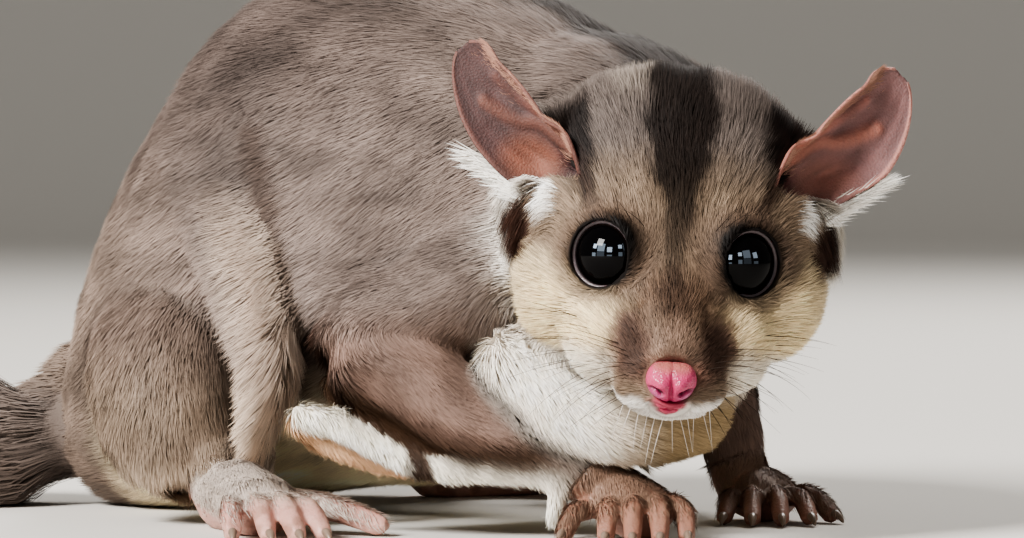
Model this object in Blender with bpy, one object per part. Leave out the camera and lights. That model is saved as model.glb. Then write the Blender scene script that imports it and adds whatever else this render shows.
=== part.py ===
"""Sugar glider: a still, life-size model that crouches with its head low and turned to the viewer."""
import math
import random

import bmesh
import bpy
import numpy as np
from mathutils import Matrix, Vector

# Sizes are in millimetres while the animal is modelled: x to the right, y away from the
# viewer, z up from the floor. The finished nodes are in metres.
MM = 0.001
GAP = 0.3
WELD = 0.002

# The head's own frame: its origin is midway between the eyes.
EYE_MID = Vector((19.5, 0.0, 34.5))
HEAD_PITCH = math.radians(26.0)
HEAD_YAW = math.radians(1.5)
HEAD_ROLL = math.radians(3.7)
EYE_PLACE = (7.2, 0.6, 0.1)
EYE_RADIUS = 4.8
EYE_OUTWARD = math.radians(36.0)
EYE_UPWARD = math.radians(22.0)
EYE_OPENING = 3.9
LID_RADIUS = 5.6
EAR_THICK = 0.6

# The spine seen from above: a start and a direction, with the animal's right side to the viewer.
SPINE_START = (-16.5, 50.0)
SPINE_TURN = math.radians(-25.75)

WHOLE_VOXEL = 0.8
PAW_VOXEL = 0.32
BODY_TRIANGLES = 1600
HEAD_TRIANGLES = 1200
CELL_TRIANGLES = 150
PAW_TRIANGLES = 340
FOLD_TRIANGLES = 360
HEAD_MARGIN = 1.2
HEAD_DEPTH = 23.0
NECK_FLOOR = 27.0
SHARP_ANGLE = math.radians(50.0)
UPRIGHT = (0.0, 0.0, 1.0)
TO_VIEWER = (0.0, -1.0, 0.0)


def add_mesh(name, verts, faces):
    """A mesh object with its faces turned outward."""
    mesh = bpy.data.meshes.new(name)
    mesh.from_pydata([tuple(v) for v in verts], [], faces)
    obj = bpy.data.objects.new(name, mesh)
    bpy.context.scene.collection.objects.link(obj)
    bm = bmesh.new()
    bm.from_mesh(mesh)
    bmesh.ops.recalc_face_normals(bm, faces=bm.faces)
    bm.to_mesh(mesh)
    bm.free()
    return obj


def discard(obj):
    bpy.data.objects.remove(obj, do_unlink=True)


def settle(obj):
    """Apply the object's modifiers."""
    graph = bpy.context.evaluated_depsgraph_get()
    graph.update()
    mesh = bpy.data.meshes.new_from_object(obj.evaluated_get(graph))
    obj.modifiers.clear()
    obj.data = mesh
    return obj


def curved(rows, per_span=4):
    """A smooth curve through rows of numbers."""
    given = np.array(rows, float)
    ends = np.vstack([2 * given[0] - given[1], given, 2 * given[-1] - given[-2]])
    out = []
    for i in range(1, len(ends) - 2):
        a, b, c, d = ends[i - 1:i + 3]
        for k in range(per_span):
            t = k / per_span
            out.append(0.5 * (2 * b + (c - a) * t + (2 * a - 5 * b + 4 * c - d) * t * t
                              + (3 * b - a - 3 * c + d) * t ** 3))
    out.append(given[-1])
    return np.array(out)


def loft(name, rings):
    """A closed skin over rings of equal count."""
    count = len(rings[0])
    verts = [p for ring in rings for p in ring]
    verts.append(np.mean(rings[0], axis=0))
    verts.append(np.mean(rings[-1], axis=0))
    start_cap = len(verts) - 2
    end_cap = len(verts) - 1
    last = (len(rings) - 1) * count
    faces = []
    for j in range(count):
        k = (j + 1) % count
        for i in range(len(rings) - 1):
            a = i * count
            b = a + count
            faces.append((a + j, a + k, b + k, b + j))
        faces.append((k, j, start_cap))
        faces.append((last + j, last + k, end_cap))
    return add_mesh(name, verts, faces)


def tube(name, rows, sides=16, grow=0.0, axis=None, up=(0.0, 0.0, 1.0), per_span=4, domes=(75.0, 50.0, 25.0)):
    """A round-ended tube; each row is a centre, a half-width and a half-height."""
    path = curved(rows, per_span)
    centres = path[:, :3]
    radii = path[:, 3:5] + grow
    ways = np.gradient(centres, axis=0)
    if axis is not None:
        ways[:] = axis
    ways /= np.linalg.norm(ways, axis=1)[:, None]
    turn = np.linspace(0.0, 2 * math.pi, sides, endpoint=False)
    rings = []

    def ring(centre, size, way):
        side = np.cross(way, up)
        side /= np.linalg.norm(side)
        top = np.cross(side, way)
        return [centre + size[0] * math.cos(t) * side + size[1] * math.sin(t) * top for t in turn]

    for angle in domes:
        reach = radii[0].min() * math.sin(math.radians(angle))
        rings.append(ring(centres[0] - ways[0] * reach,
                          radii[0] * math.cos(math.radians(angle)), ways[0]))
    for centre, size, way in zip(centres, radii, ways):
        rings.append(ring(centre, size, way))
    for angle in reversed(domes):
        reach = radii[-1].min() * math.sin(math.radians(angle))
        rings.append(ring(centres[-1] + ways[-1] * reach,
                          radii[-1] * math.cos(math.radians(angle)), ways[-1]))
    return loft(name, rings)


def ball(name, centre, radii, turn=None, sides=24, rows=14):
    """An ellipsoid."""
    rings = []
    for i in range(1, rows):
        angle = math.pi * i / rows
        rings.append([Vector((radii[0] * math.sin(angle) * math.cos(2 * math.pi * j / sides),
                              radii[1] * math.sin(angle) * math.sin(2 * math.pi * j / sides),
                              radii[2] * math.cos(angle))) for j in range(sides)])
    tip = Vector((0.0, 0.0, radii[2]))
    obj = loft(name, rings)
    caps = obj.data.vertices
    caps[len(caps) - 2].co = tip
    caps[len(caps) - 1].co = -tip
    matrix = turn.to_4x4() if turn is not None else Matrix()
    obj.data.transform(Matrix.Translation(centre) @ matrix)
    return obj


def box(name, low, high):
    verts = [(x, y, z) for x in (low[0], high[0]) for y in (low[1], high[1])
             for z in (low[2], high[2])]
    faces = [(0, 1, 3, 2), (4, 6, 7, 5), (0, 4, 5, 1), (2, 3, 7, 6), (0, 2, 6, 4), (1, 5, 7, 3)]
    return add_mesh(name, verts, faces)


def moved(obj, matrix):
    obj.data.transform(matrix)
    return obj


def copied(obj, name):
    twin = bpy.data.objects.new(name, obj.data.copy())
    bpy.context.scene.collection.objects.link(twin)
    return twin


def boolean(obj, others, operation, solver="EXACT"):
    """Combine an object with a group of others, which are used up."""
    group = bpy.data.collections.new("group")
    bpy.context.scene.collection.children.link(group)
    for other in others:
        group.objects.link(other)
    mod = obj.modifiers.new("Boolean", "BOOLEAN")
    mod.operand_type = "COLLECTION"
    mod.collection = group
    mod.operation = operation
    mod.solver = solver
    settle(obj)
    for other in others:
        discard(other)
    bpy.data.collections.remove(group)
    return obj


def largest(obj):
    """Keep the largest closed surface, in triangles."""
    bm = bmesh.new()
    bm.from_mesh(obj.data)
    bmesh.ops.remove_doubles(bm, verts=bm.verts, dist=WELD)
    bmesh.ops.dissolve_degenerate(bm, edges=bm.edges, dist=WELD)
    bmesh.ops.triangulate(bm, faces=bm.faces)
    left = set(bm.faces)
    groups = []
    while left:
        group = [left.pop()]
        for face in group:
            for edge in face.edges:
                if len(edge.link_faces) != 2:
                    continue
                for other in edge.link_faces:
                    if other in left:
                        left.discard(other)
                        group.append(other)
        groups.append(group)

    def volume(group):
        return abs(sum(f.verts[0].co.dot(f.verts[1].co.cross(f.verts[2].co)) for f in group))

    groups.sort(key=volume)
    for group in groups[:-1]:
        bmesh.ops.delete(bm, geom=group, context="FACES")
    bm.to_mesh(obj.data)
    bm.free()
    return obj


def fuse(name, pieces, voxel, smoothing=0):
    """Overlapping closed pieces made into one closed surface."""
    bm = bmesh.new()
    for piece in pieces:
        bm.from_mesh(piece.data)
        discard(piece)
    mesh = bpy.data.meshes.new(name)
    bm.to_mesh(mesh)
    bm.free()
    obj = bpy.data.objects.new(name, mesh)
    bpy.context.scene.collection.objects.link(obj)
    mod = obj.modifiers.new("Remesh", "REMESH")
    mod.mode = "VOXEL"
    mod.voxel_size = voxel
    if smoothing:
        mod = obj.modifiers.new("Smooth", "SMOOTH")
        mod.factor = 0.5
        mod.iterations = smoothing
    settle(obj)
    return largest(obj)


def thin_out(obj, target, chosen=None):
    """Reduce the triangles, of the chosen vertices only where a test is given."""
    faces = len(obj.data.polygons)
    mod = obj.modifiers.new("Decimate", "DECIMATE")
    if chosen is not None:
        group = obj.vertex_groups.new(name="chosen")
        picked = {v.index for v in obj.data.vertices if chosen(v.co)}
        group.add(list(picked), 1.0, "REPLACE")
        inside = sum(1 for f in obj.data.polygons if any(v in picked for v in f.vertices))
        mod.vertex_group = "chosen"
        mod.ratio = min(1.0, (faces - inside + target) / faces)
    else:
        mod.ratio = min(1.0, target / faces)
    mod.use_collapse_triangulate = True
    settle(obj)
    obj.vertex_groups.clear()
    return obj


def carve(whole, name, cell):
    """Part a node from the whole with a thin cut round a cell."""
    node = copied(whole, name)
    boolean(node, [cell(-GAP / 2)], "INTERSECT")
    boolean(whole, [cell(GAP / 2)], "DIFFERENCE")
    largest(whole)
    return largest(node)


def swollen(obj, amount):
    """A copy whose surface stands further out."""
    twin = copied(obj, "swollen")
    mod = twin.modifiers.new("Displace", "DISPLACE")
    mod.mid_level = 0.0
    mod.strength = amount
    return settle(twin)


def clear_of(obj, others):
    """Cut an object back so that it stands a gap away from its neighbours."""
    boolean(obj, [swollen(other, GAP) for other in others], "DIFFERENCE")
    return largest(obj)


HEAD_TURN = (Matrix.Rotation(HEAD_ROLL, 3, "Y") @ Matrix.Rotation(HEAD_YAW, 3, "Z")
             @ Matrix.Rotation(HEAD_PITCH, 3, "X"))
HEAD_PLACE = Matrix.Translation(EYE_MID) @ HEAD_TURN.to_4x4()


def head_point(side, forward, up):
    return EYE_MID + HEAD_TURN @ Vector((side, -forward, up))


def eye_place(side):
    return (side * EYE_PLACE[0], EYE_PLACE[1], EYE_PLACE[2])


def eye_way(side):
    flat = math.cos(EYE_UPWARD)
    return HEAD_TURN @ Vector((side * math.sin(EYE_OUTWARD) * flat, -math.cos(EYE_OUTWARD) * flat,
                               math.sin(EYE_UPWARD)))


def head_form():
    """The skull with its coat: forward place, half-width, top and underside."""
    stations = [
        (17.6, 2.7, -4.9, -12.2), (16.0, 4.0, -3.9, -13.4), (13.0, 5.4, -2.4, -14.6),
        (9.0, 7.6, -0.4, -15.6), (5.0, 10.6, 2.2, -16.4), (0.0, 15.0, 7.6, -16.8),
        (-6.0, 18.2, 12.4, -16.6), (-12.0, 19.6, 14.9, -15.8), (-18.0, 19.0, 15.0, -14.2),
        (-24.0, 16.2, 12.0, -12.0), (-29.0, 12.0, 7.0, -8.0)]
    rows = []
    for forward, width, top, under in stations:
        rows.append((0.0, -forward, (top + under) / 2, width, (top - under) / 2))
    return moved(tube("head form", rows, sides=28, axis=(0.0, 1.0, 0.0)), HEAD_PLACE)


def head_pieces():
    pieces = [head_form()]
    for side in (-1, 1):
        lumps = [((side * 10.6, -6.5, -6.4), (8.2, 12.0, 9.0)),
                 (eye_place(side), (LID_RADIUS,) * 3),
                 ((side * 7.0, 4.0, -8.6), (5.4, 8.0, 6.4)),
                 ((side * 3.0, 13.0, -9.8), (3.8, 4.6, 4.2))]
        for place, radii in lumps:
            pieces.append(ball("lump", head_point(*place), radii, HEAD_TURN))
    return pieces


def spine_point(along, right, height):
    """A place by its length along the spine, its distance to the right and its height."""
    c, s = math.cos(SPINE_TURN), math.sin(SPINE_TURN)
    return (SPINE_START[0] + c * along + s * right, SPINE_START[1] + s * along - c * right, height)


def mirrored(place):
    """The place on the animal's left that answers to one on its right."""
    x, y = place[0] - SPINE_START[0], place[1] - SPINE_START[1]
    c, s = math.cos(SPINE_TURN), math.sin(SPINE_TURN)
    return spine_point(c * x + s * y, -(s * x - c * y), place[2]) + tuple(place[3:])


def torso_form():
    stations = [
        (-43.5, 13.0, 8.0, 10.0), (-40.0, 16.0, 13.4, 15.6), (-34.5, 21.5, 18.8, 22.0),
        (-27.0, 27.5, 23.4, 28.0), (-17.0, 33.5, 26.4, 33.2), (-5.0, 37.0, 27.5, 34.2),
        (8.0, 37.5, 27.0, 33.0), (20.0, 38.0, 25.0, 30.0), (30.0, 37.5, 22.5, 26.0),
        (38.0, 37.0, 19.0, 21.5), (44.0, 36.0, 15.0, 17.0)]
    rows = [spine_point(along, 0.0, height) + (wide, high) for along, height, wide, high in stations]
    axis = (math.cos(SPINE_TURN), math.sin(SPINE_TURN), 0.0)
    return tube("torso form", rows, sides=36, axis=axis)


# Each row is a centre, a half-width and a half-height.
THIGH = [(-43.8, 50.0, 23.0, 10.4, 11.5), (-43.2, 40.0, 19.5, 11.0, 12.3),
         (-42.6, 34.0, 14.0, 10.0, 11.0), (-39.0, 31.0, 9.0, 7.6, 7.8), (-36.0, 28.0, 6.2, 5.4, 5.6)]
FORELIMB = [(5.0, 22.0, 36.0, 9.0, 9.0), (-9.0, 18.0, 27.5, 7.6, 7.4), (-18.5, 14.5, 23.6, 6.4, 6.4),
            (-12.0, 12.0, 18.8, 5.9, 5.9), (-5.0, 11.0, 14.2, 5.5, 5.3), (2.0, 10.5, 11.2, 4.8, 4.5),
            (8.0, 10.5, 8.6, 4.0, 3.8), (12.0, 10.5, 6.8, 3.8, 3.4)]
LEFT_FORELIMB = [(17.5, 48.0, 31.0, 7.0, 7.0), (21.8, 49.0, 26.5, 7.2, 7.2), (25.5, 45.5, 22.0, 5.4, 5.4),
                 (27.0, 40.5, 15.0, 4.6, 4.6), (28.5, 39.5, 8.0, 3.9, 3.9), (29.5, 39.0, 5.0, 3.6, 3.6)]
NECK = [(6.0, 38.0, 43.0, 19.0, 20.0), (13.0, 29.0, 42.5, 18.6, 18.8), (20.0, 18.0, 39.0, 16.5, 15.5)]
CHEST_ROLL = [(0.0, 9.0, 21.5, 4.5, 4.6), (6.0, 8.0, 16.0, 4.8, 5.2), (12.5, 9.0, 13.8, 5.4, 5.6),
              (20.0, 14.0, 16.0, 7.0, 7.0)]
CHEST = [(14.0, 30.0, 22.0, 14.0, 13.0), (19.0, 22.0, 22.0, 11.0, 10.0)]
CURTAIN = [(-35.0, 38.0, 49.0, 9.0, 4.0), (-33.5, 31.5, 40.0, 7.4, 4.6), (-31.5, 26.0, 30.0, 5.6, 4.8),
           (-30.0, 21.8, 21.5, 4.2, 4.4), (-30.9, 22.5, 14.5, 3.0, 3.6), (-32.0, 24.5, 8.5, 2.2, 2.8)]
FLANK_SWELL = [(-24.0, 35.0, 52.0, 9.0, 4.0), (-21.0, 28.5, 40.0, 9.0, 4.6), (-18.0, 23.5, 29.0, 8.0, 5.0)]
# The tail: centres, half-width and half-height out to the tips of its hair.
TAIL_PATH = [
    (-44.0, 64.0, 12.0, 10.5, 11.5), (-56.0, 66.5, 10.0, 11.2, 11.8), (-72.0, 65.5, 8.8, 11.8, 12.0),
    (-95.0, 64.0, 8.4, 12.2, 12.2), (-118.0, 69.5, 8.2, 12.2, 12.0), (-135.0, 83.0, 8.0, 12.0, 11.6),
    (-143.0, 102.0, 7.6, 11.6, 11.2), (-139.5, 120.0, 7.2, 10.8, 10.4), (-127.0, 132.0, 6.8, 9.4, 9.4),
    (-112.0, 137.0, 6.2, 7.2, 7.6), (-98.0, 138.0, 5.4, 3.4, 4.4), (-90.0, 138.0, 5.0, 1.2, 1.6)]
TAIL_SPACING = 2.0
TAIL_CORE = 0.48
TAIL_CUTS = (52.0, 118.0)
TAIL_LOCK_STEP = 13.5
TAIL_LOCKS_ROUND = 5
TAIL_LOCK_LENGTH = 20.0
TAIL_LOCK_HALF_WIDTH = 5.0
TAIL_LOCK_THICK = 1.8

# The folded gliding membrane: its white fringe, the dark band above it and the fold beneath.
FRINGE = [(-26.6, 14.0, 15.2, 1.2, 1.5), (-22.4, 12.2, 14.3, 1.35, 1.6), (-17.6, 11.4, 12.0, 1.35, 1.6),
          (-14.2, 11.2, 10.2, 1.35, 1.5), (-9.6, 10.4, 8.6, 1.35, 1.5), (-3.5, 9.2, 8.6, 1.35, 1.5),
          (2.6, 8.0, 8.3, 1.3, 1.5), (5.4, 7.4, 6.6, 1.2, 1.4), (4.9, 7.4, 3.4, 1.1, 1.2)]
MEMBRANE = [(-22.8, 17.5, 18.8, 1.0, 1.8), (-19.6, 14.0, 17.0, 1.3, 2.3), (-15.6, 12.2, 13.7, 1.3, 2.2),
            (-10.6, 11.6, 10.6, 1.2, 1.9), (-4.0, 10.4, 9.9, 1.1, 1.6), (2.0, 9.4, 9.5, 1.0, 1.3)]
UNDERFOLD = [(-26.8, 14.6, 14.0, 1.1, 1.4), (-24.2, 15.0, 12.2, 1.2, 1.6), (-20.6, 14.0, 10.8, 1.2, 1.6),
             (-16.4, 13.0, 9.2, 1.0, 1.2), (-12.6, 12.2, 8.4, 0.7, 0.8)]
# On the left the first rows are the same, and the fringe then runs forward to the forearm.
SHARED_ROWS = 4
LEFT_FRINGE = [(19.6, 67.6, 9.4, 1.35, 1.6), (24.0, 60.5, 9.6, 1.35, 1.5), (26.8, 53.5, 10.2, 1.3, 1.5),
               (28.2, 47.5, 11.0, 1.2, 1.4), (28.6, 42.5, 11.8, 1.1, 1.2)]
LEFT_MEMBRANE = [(22.6, 60.0, 11.6, 1.2, 1.9), (25.6, 53.0, 12.2, 1.1, 1.8), (27.0, 47.0, 13.0, 1.1, 1.6),
                 (27.6, 42.5, 13.6, 1.0, 1.3)]

# A paw: its wrist, the way it points there, its palm and its digits, each with a claw or not.
RIGHT_HAND = dict(
    joint=(8.6, 10.5, 8.3), way=(0.75, 0.0, -0.55),
    palm=[(7.0, 10.5, 9.2, 3.8, 3.6), (11.5, 9.8, 6.0, 4.4, 3.6), (15.6, 7.0, 3.3, 5.6, 3.6)],
    digits=[[(11.2, 8.0, 4.2, 1.5), (7.8, 5.2, 3.4, 1.35), (6.4, 1.6, 1.1, 1.2)],
            [(12.4, 5.8, 4.4, 1.45), (11.6, 1.6, 4.0, 1.3), (11.2, -2.4, 1.1, 1.2)],
            [(14.8, 5.4, 4.6, 1.45), (14.6, 1.0, 4.2, 1.3), (14.4, -3.4, 1.1, 1.2)],
            [(17.4, 5.4, 4.5, 1.45), (17.8, 1.2, 4.1, 1.3), (17.7, -3.0, 1.1, 1.2)],
            [(19.4, 6.4, 4.2, 1.45), (20.8, 2.6, 3.6, 1.3), (21.0, -1.0, 1.1, 1.2)]],
    clawless=())
LEFT_HAND = dict(
    joint=(28.5, 39.5, 8.0), way=(0.35, -0.1, -0.93),
    palm=[(28.2, 39.7, 9.4, 3.5, 3.5), (29.6, 39.0, 4.6, 3.9, 3.6), (32.4, 36.4, 3.0, 4.8, 3.3)],
    digits=[[(29.4, 35.8, 3.4, 1.4), (27.6, 32.6, 3.0, 1.3), (26.8, 29.0, 1.1, 1.2)],
            [(31.0, 34.6, 3.6, 1.4), (30.4, 31.0, 3.4, 1.3), (30.2, 27.0, 1.1, 1.2)],
            [(33.0, 34.4, 3.6, 1.4), (33.6, 30.6, 3.4, 1.3), (33.8, 26.6, 1.1, 1.2)],
            [(34.8, 35.2, 3.4, 1.4), (36.6, 31.8, 3.2, 1.3), (37.4, 28.0, 1.1, 1.2)],
            [(35.6, 37.2, 3.2, 1.4), (38.6, 35.4, 3.0, 1.3), (40.4, 32.4, 1.1, 1.2)]],
    clawless=())
RIGHT_FOOT = dict(
    joint=(-36.4, 28.6, 7.2), way=(0.12, -0.42, -0.90),
    palm=[(-36.6, 29.4, 9.0, 4.6, 4.6), (-35.8, 26.6, 4.4, 4.4, 4.8), (-33.6, 20.0, 4.1, 4.4, 4.5),
          (-31.2, 13.0, 3.6, 5.0, 3.9)],
    digits=[[(-28.6, 17.0, 3.8, 1.8), (-21.8, 13.4, 3.2, 1.6), (-16.2, 11.6, 1.3, 1.4)],
            [(-28.2, 11.8, 4.2, 1.6), (-24.6, 6.8, 3.6, 1.45), (-22.8, 2.4, 1.1, 1.25)],
            [(-29.8, 11.2, 4.4, 1.6), (-27.4, 5.8, 3.9, 1.45), (-25.9, 1.0, 1.1, 1.25)],
            [(-31.8, 11.2, 4.4, 1.6), (-30.6, 5.8, 3.9, 1.45), (-29.4, 1.2, 1.1, 1.25)],
            [(-34.0, 12.6, 4.2, 1.6), (-34.2, 7.4, 3.6, 1.45), (-33.8, 3.0, 1.1, 1.25)]],
    clawless=(0,))


def mirrored_way(way):
    c, s = math.cos(SPINE_TURN), math.sin(SPINE_TURN)
    along, right = c * way[0] + s * way[1], s * way[0] - c * way[1]
    return (c * along - s * right, s * along + c * right, way[2])


def mirrored_paw(paw):
    return dict(joint=mirrored(paw["joint"]), way=mirrored_way(paw["way"]),
                palm=[mirrored(row) for row in paw["palm"]],
                digits=[[mirrored(row) for row in digit] for digit in paw["digits"]],
                clawless=paw["clawless"])


def whole_flesh():
    """Head, neck, trunk and limbs in one surface."""
    pieces = head_pieces()
    pieces.append(torso_form())
    for rows in (NECK, CHEST_ROLL, CHEST, FORELIMB, LEFT_FORELIMB):
        pieces.append(tube("form", rows, sides=24))
    for rows, up in ((THIGH, UPRIGHT), (CURTAIN, TO_VIEWER), (FLANK_SWELL, TO_VIEWER)):
        pieces.append(tube("form", rows, sides=24, up=up))
        pieces.append(tube("form", [mirrored(row) for row in rows], sides=24, up=mirrored_way(up)))
    whole = fuse("whole", pieces, WHOLE_VOXEL, smoothing=4)
    face = EYE_MID + HEAD_TURN @ Vector((0.0, 6.0, 0.0))

    def near_face(place):
        return (place - face).length < 27.0

    thin_out(whole, BODY_TRIANGLES, lambda place: not near_face(place))
    thin_out(whole, HEAD_TRIANGLES, near_face)
    return whole


def half_space(point, way, offset=0.0, size=60.0):
    """A box that fills the far side of a plane."""
    turn = Vector(way).to_track_quat("Z", "X").to_matrix().to_4x4()
    cell = box("half", (-size / 2, -size / 2, offset), (size / 2, size / 2, size))
    return moved(cell, Matrix.Translation(Vector(point)) @ turn)


def carve_head(whole):
    form = fuse("cell", head_pieces(), 1.0, 1)
    thin_out(form, 3 * CELL_TRIANGLES)

    def cell(grow):
        shape = swollen(form, HEAD_MARGIN + grow)
        keep = box("keep", (-40.0, -40.0, -40.0), (40.0, HEAD_DEPTH + grow, 40.0))
        return boolean(shape, [moved(keep, HEAD_PLACE)], "INTERSECT")

    node = carve(whole, "head", cell)
    discard(form)
    return node


def neck_cell(grow):
    """All that lies ahead of and above a slanting plane through the shoulders, down to the throat."""
    along = Vector((math.cos(SPINE_TURN), math.sin(SPINE_TURN), 0.0))
    ahead = 0.8 * along + 0.6 * Vector((0.0, 0.0, 1.0))
    above = half_space((0.0, 30.0, NECK_FLOOR), UPRIGHT, -grow, 200.0)
    return boolean(half_space(spine_point(28.0, 0.0, 50.0), ahead, -grow, 120.0), [above], "INTERSECT")


def carve_form(whole, name, rows, margin=1.0):
    """Part a node along a surface that follows a tube, a margin outside it."""
    form = fuse("cell", [tube("form", rows, sides=24, grow=margin)], 1.0, 2)
    thin_out(form, CELL_TRIANGLES)
    node = carve(whole, name, lambda grow: swollen(form, grow))
    discard(form)
    return node


def mirrored_rows(rows):
    return [mirrored(row) for row in rows]


def membrane(name, folds):
    """The folded gliding membrane between flank and forearm, from the rows of its folds."""
    pieces = [tube("fold", rows, sides=12) for rows in folds]
    node = fuse(name, pieces, PAW_VOXEL, smoothing=2)
    return thin_out(node, FOLD_TRIANGLES)


def flat_on_floor(node):
    """Cut away what lies under the floor."""
    return largest(boolean(node, [box("floor", (-300.0, -300.0, -40.0), (300.0, 300.0, 0.0))],
                           "DIFFERENCE"))


def claw(name, tip, way):
    """A short curved point ahead of a digit."""
    ahead = Vector((way[0], way[1], 0.0)).normalized()
    start = Vector(tip)
    rows = []
    for reach, height, radius in ((0.3, 1.1, 0.5), (1.3, 1.05, 0.46), (2.1, 0.7, 0.34), (2.7, 0.3, 0.2)):
        place = start + ahead * reach
        rows.append((place.x, place.y, height, radius, radius))
    return tube(name, rows, sides=6, per_span=1, domes=(50.0,))


def paw(name, form):
    """Palm and digits in one surface, with claws joined to it."""
    pieces = [tube("palm", form["palm"], sides=20)]
    claws = []
    for index, digit in enumerate(form["digits"]):
        rows = [tuple(row) + (row[3],) for row in digit]
        pieces.append(tube("digit", rows, sides=14))
        way = Vector(digit[2][:3]) - Vector(digit[1][:3])
        if index not in form["clawless"]:
            claws.append(claw("claw", digit[2][:3], way))
    node = fuse(name, pieces, PAW_VOXEL, smoothing=2)
    thin_out(node, PAW_TRIANGLES)
    boolean(node, claws, "UNION")
    boolean(node, [half_space(form["joint"], form["way"], GAP / 2)], "INTERSECT")
    return flat_on_floor(node)


def eye(name, side):
    turn = eye_way(side).to_track_quat("Z", "X").to_matrix()
    return ball(name, head_point(*eye_place(side)), (EYE_RADIUS,) * 3, turn, sides=18, rows=9)


def ring_form(name, centre, way, radius, thick, sides=18, around=5):
    """A ring round a line."""
    turn = Vector(way).to_track_quat("Z", "X").to_matrix()
    verts = []
    for i in range(sides):
        a = 2 * math.pi * i / sides
        for j in range(around):
            b = 2 * math.pi * j / around
            reach = radius + thick * math.cos(b)
            verts.append(Vector(centre) + turn @ Vector((reach * math.cos(a), reach * math.sin(a),
                                                         thick * math.sin(b))))
    faces = []
    for i in range(sides):
        for j in range(around):
            k, m = (i + 1) % sides, (j + 1) % around
            faces.append((i * around + j, k * around + j, k * around + m, i * around + m))
    return add_mesh(name, verts, faces)


def ear_line(side):
    return head_point(side * 16.2, -9.2, 7.0), head_point(side * 26.8, -20.0, 16.8)


def ear_ways(side, turned):
    """Across an ear and toward its back, where it is turned outward by an angle."""
    base, tip = ear_line(side)
    angle = math.radians(turned)
    facing = Vector((side * math.sin(angle), -math.cos(angle), 0.1))
    across = (tip - base).cross(facing).normalized() * side
    back = (tip - base).cross(across).normalized()
    return across, back if back.dot(facing) < 0 else -back


def ear_hollow(side):
    """The room in the head for the cup of an ear."""
    base, tip = ear_line(side)
    back = ear_ways(side, 46)[1]
    along = (tip - base).normalized()
    turn = Matrix((back.cross(along), back, along)).transposed()
    return ball("hollow", base + along * 4.6 + back * 1.0, (4.7, 3.4, 7.0), turn, sides=12, rows=8)


def ear(name, side):
    """A thin cupped leaf, open to the front."""
    base, tip = ear_line(side)
    along = tip - base
    # How far along, half-width, depth of the cup, and how far that stretch is turned outward.
    stations = [(-0.26, 3.8, 2.8, 52), (-0.14, 4.8, 3.2, 52), (0.0, 5.4, 3.4, 48), (0.14, 5.7, 3.2, 38), (0.3, 5.7, 2.7, 28),
                (0.46, 5.5, 2.1, 22), (0.62, 5.0, 1.6, 20), (0.76, 4.2, 1.1, 20), (0.88, 3.1, 0.7, 20),
                (0.96, 2.0, 0.4, 20), (1.0, 1.1, 0.2, 20)]
    columns = 7
    verts = []
    for reach, half, depth, turned in stations:
        across, back = ear_ways(side, turned)
        for j in range(columns):
            h = 2 * j / (columns - 1) - 1
            verts.append(base + along * reach + across * half * h + back * depth * (1 - h * h))
    faces = []
    for i in range(len(stations) - 1):
        for j in range(columns - 1):
            a = i * columns + j
            faces += [(a, a + 1, a + columns + 1), (a, a + columns + 1, a + columns)]
    obj = add_mesh(name, verts, faces)
    mod = obj.modifiers.new("Solidify", "SOLIDIFY")
    mod.thickness = EAR_THICK
    mod.offset = 0.0
    return settle(obj)


def nose():
    """The nose pad with its two nostrils and the groove between them."""
    pad = ball("nose", head_point(0.0, 17.9, -7.0), (3.1, 2.5, 2.4), HEAD_TURN, 12, 8)
    cutters = [ball("groove", head_point(0.0, 20.6, -8.2), (0.25, 0.9, 1.9), HEAD_TURN, 6, 6)]
    for side in (-1, 1):
        cutters.append(ball("nostril", head_point(side * 1.6, 19.9, -7.1), (0.75, 1.2, 0.6),
                            HEAD_TURN, 8, 6))
    return largest(boolean(pad, cutters, "DIFFERENCE"))


def finish_head(head, eyes, nose_pad):
    """Lids round the eyes, the line of the mouth, and room for the eyes and the nose."""
    lids = []
    openings = []
    rim_reach = math.sqrt(LID_RADIUS ** 2 - EYE_OPENING ** 2)
    for side in (-1, 1):
        centre = head_point(*eye_place(side))
        way = eye_way(side)
        lids.append(ring_form("lid", centre + way * (rim_reach - 0.2), way, EYE_OPENING + 0.2, 0.45))
        rows = [tuple(centre + way * reach) + (EYE_OPENING - 0.1,) * 2 for reach in (1.0, 9.0)]
        openings.append(tube("opening", rows, sides=18, per_span=1, domes=()))
    boolean(head, lids, "UNION")
    boolean(head, openings + [ear_hollow(side) for side in (-1, 1)], "DIFFERENCE")
    mouth = []
    for side in (-1, 1):
        line = [head_point(side * 0.3, 18.2, -11.2), head_point(side * 2.6, 17.0, -12.2),
                head_point(side * 5.6, 13.2, -12.8), head_point(side * 7.8, 8.6, -12.2)]
        rows = [tuple(point) + (0.5, 0.5) for point in line]
        mouth.append(tube("mouth", rows, sides=6, per_span=2, domes=(50.0,)))
    boolean(head, mouth, "DIFFERENCE")
    return clear_of(head, eyes + [nose_pad])


def even_path(rows, spacing):
    """A smooth curve through rows, with a row at every spacing of its length."""
    path = curved(rows, 12)
    reach = np.concatenate([[0.0], np.cumsum(np.linalg.norm(np.diff(path[:, :3], axis=0), axis=1))])
    places = np.arange(0.0, reach[-1], spacing)
    return np.array([[np.interp(place, reach, column) for column in path.T] for place in places])


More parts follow.
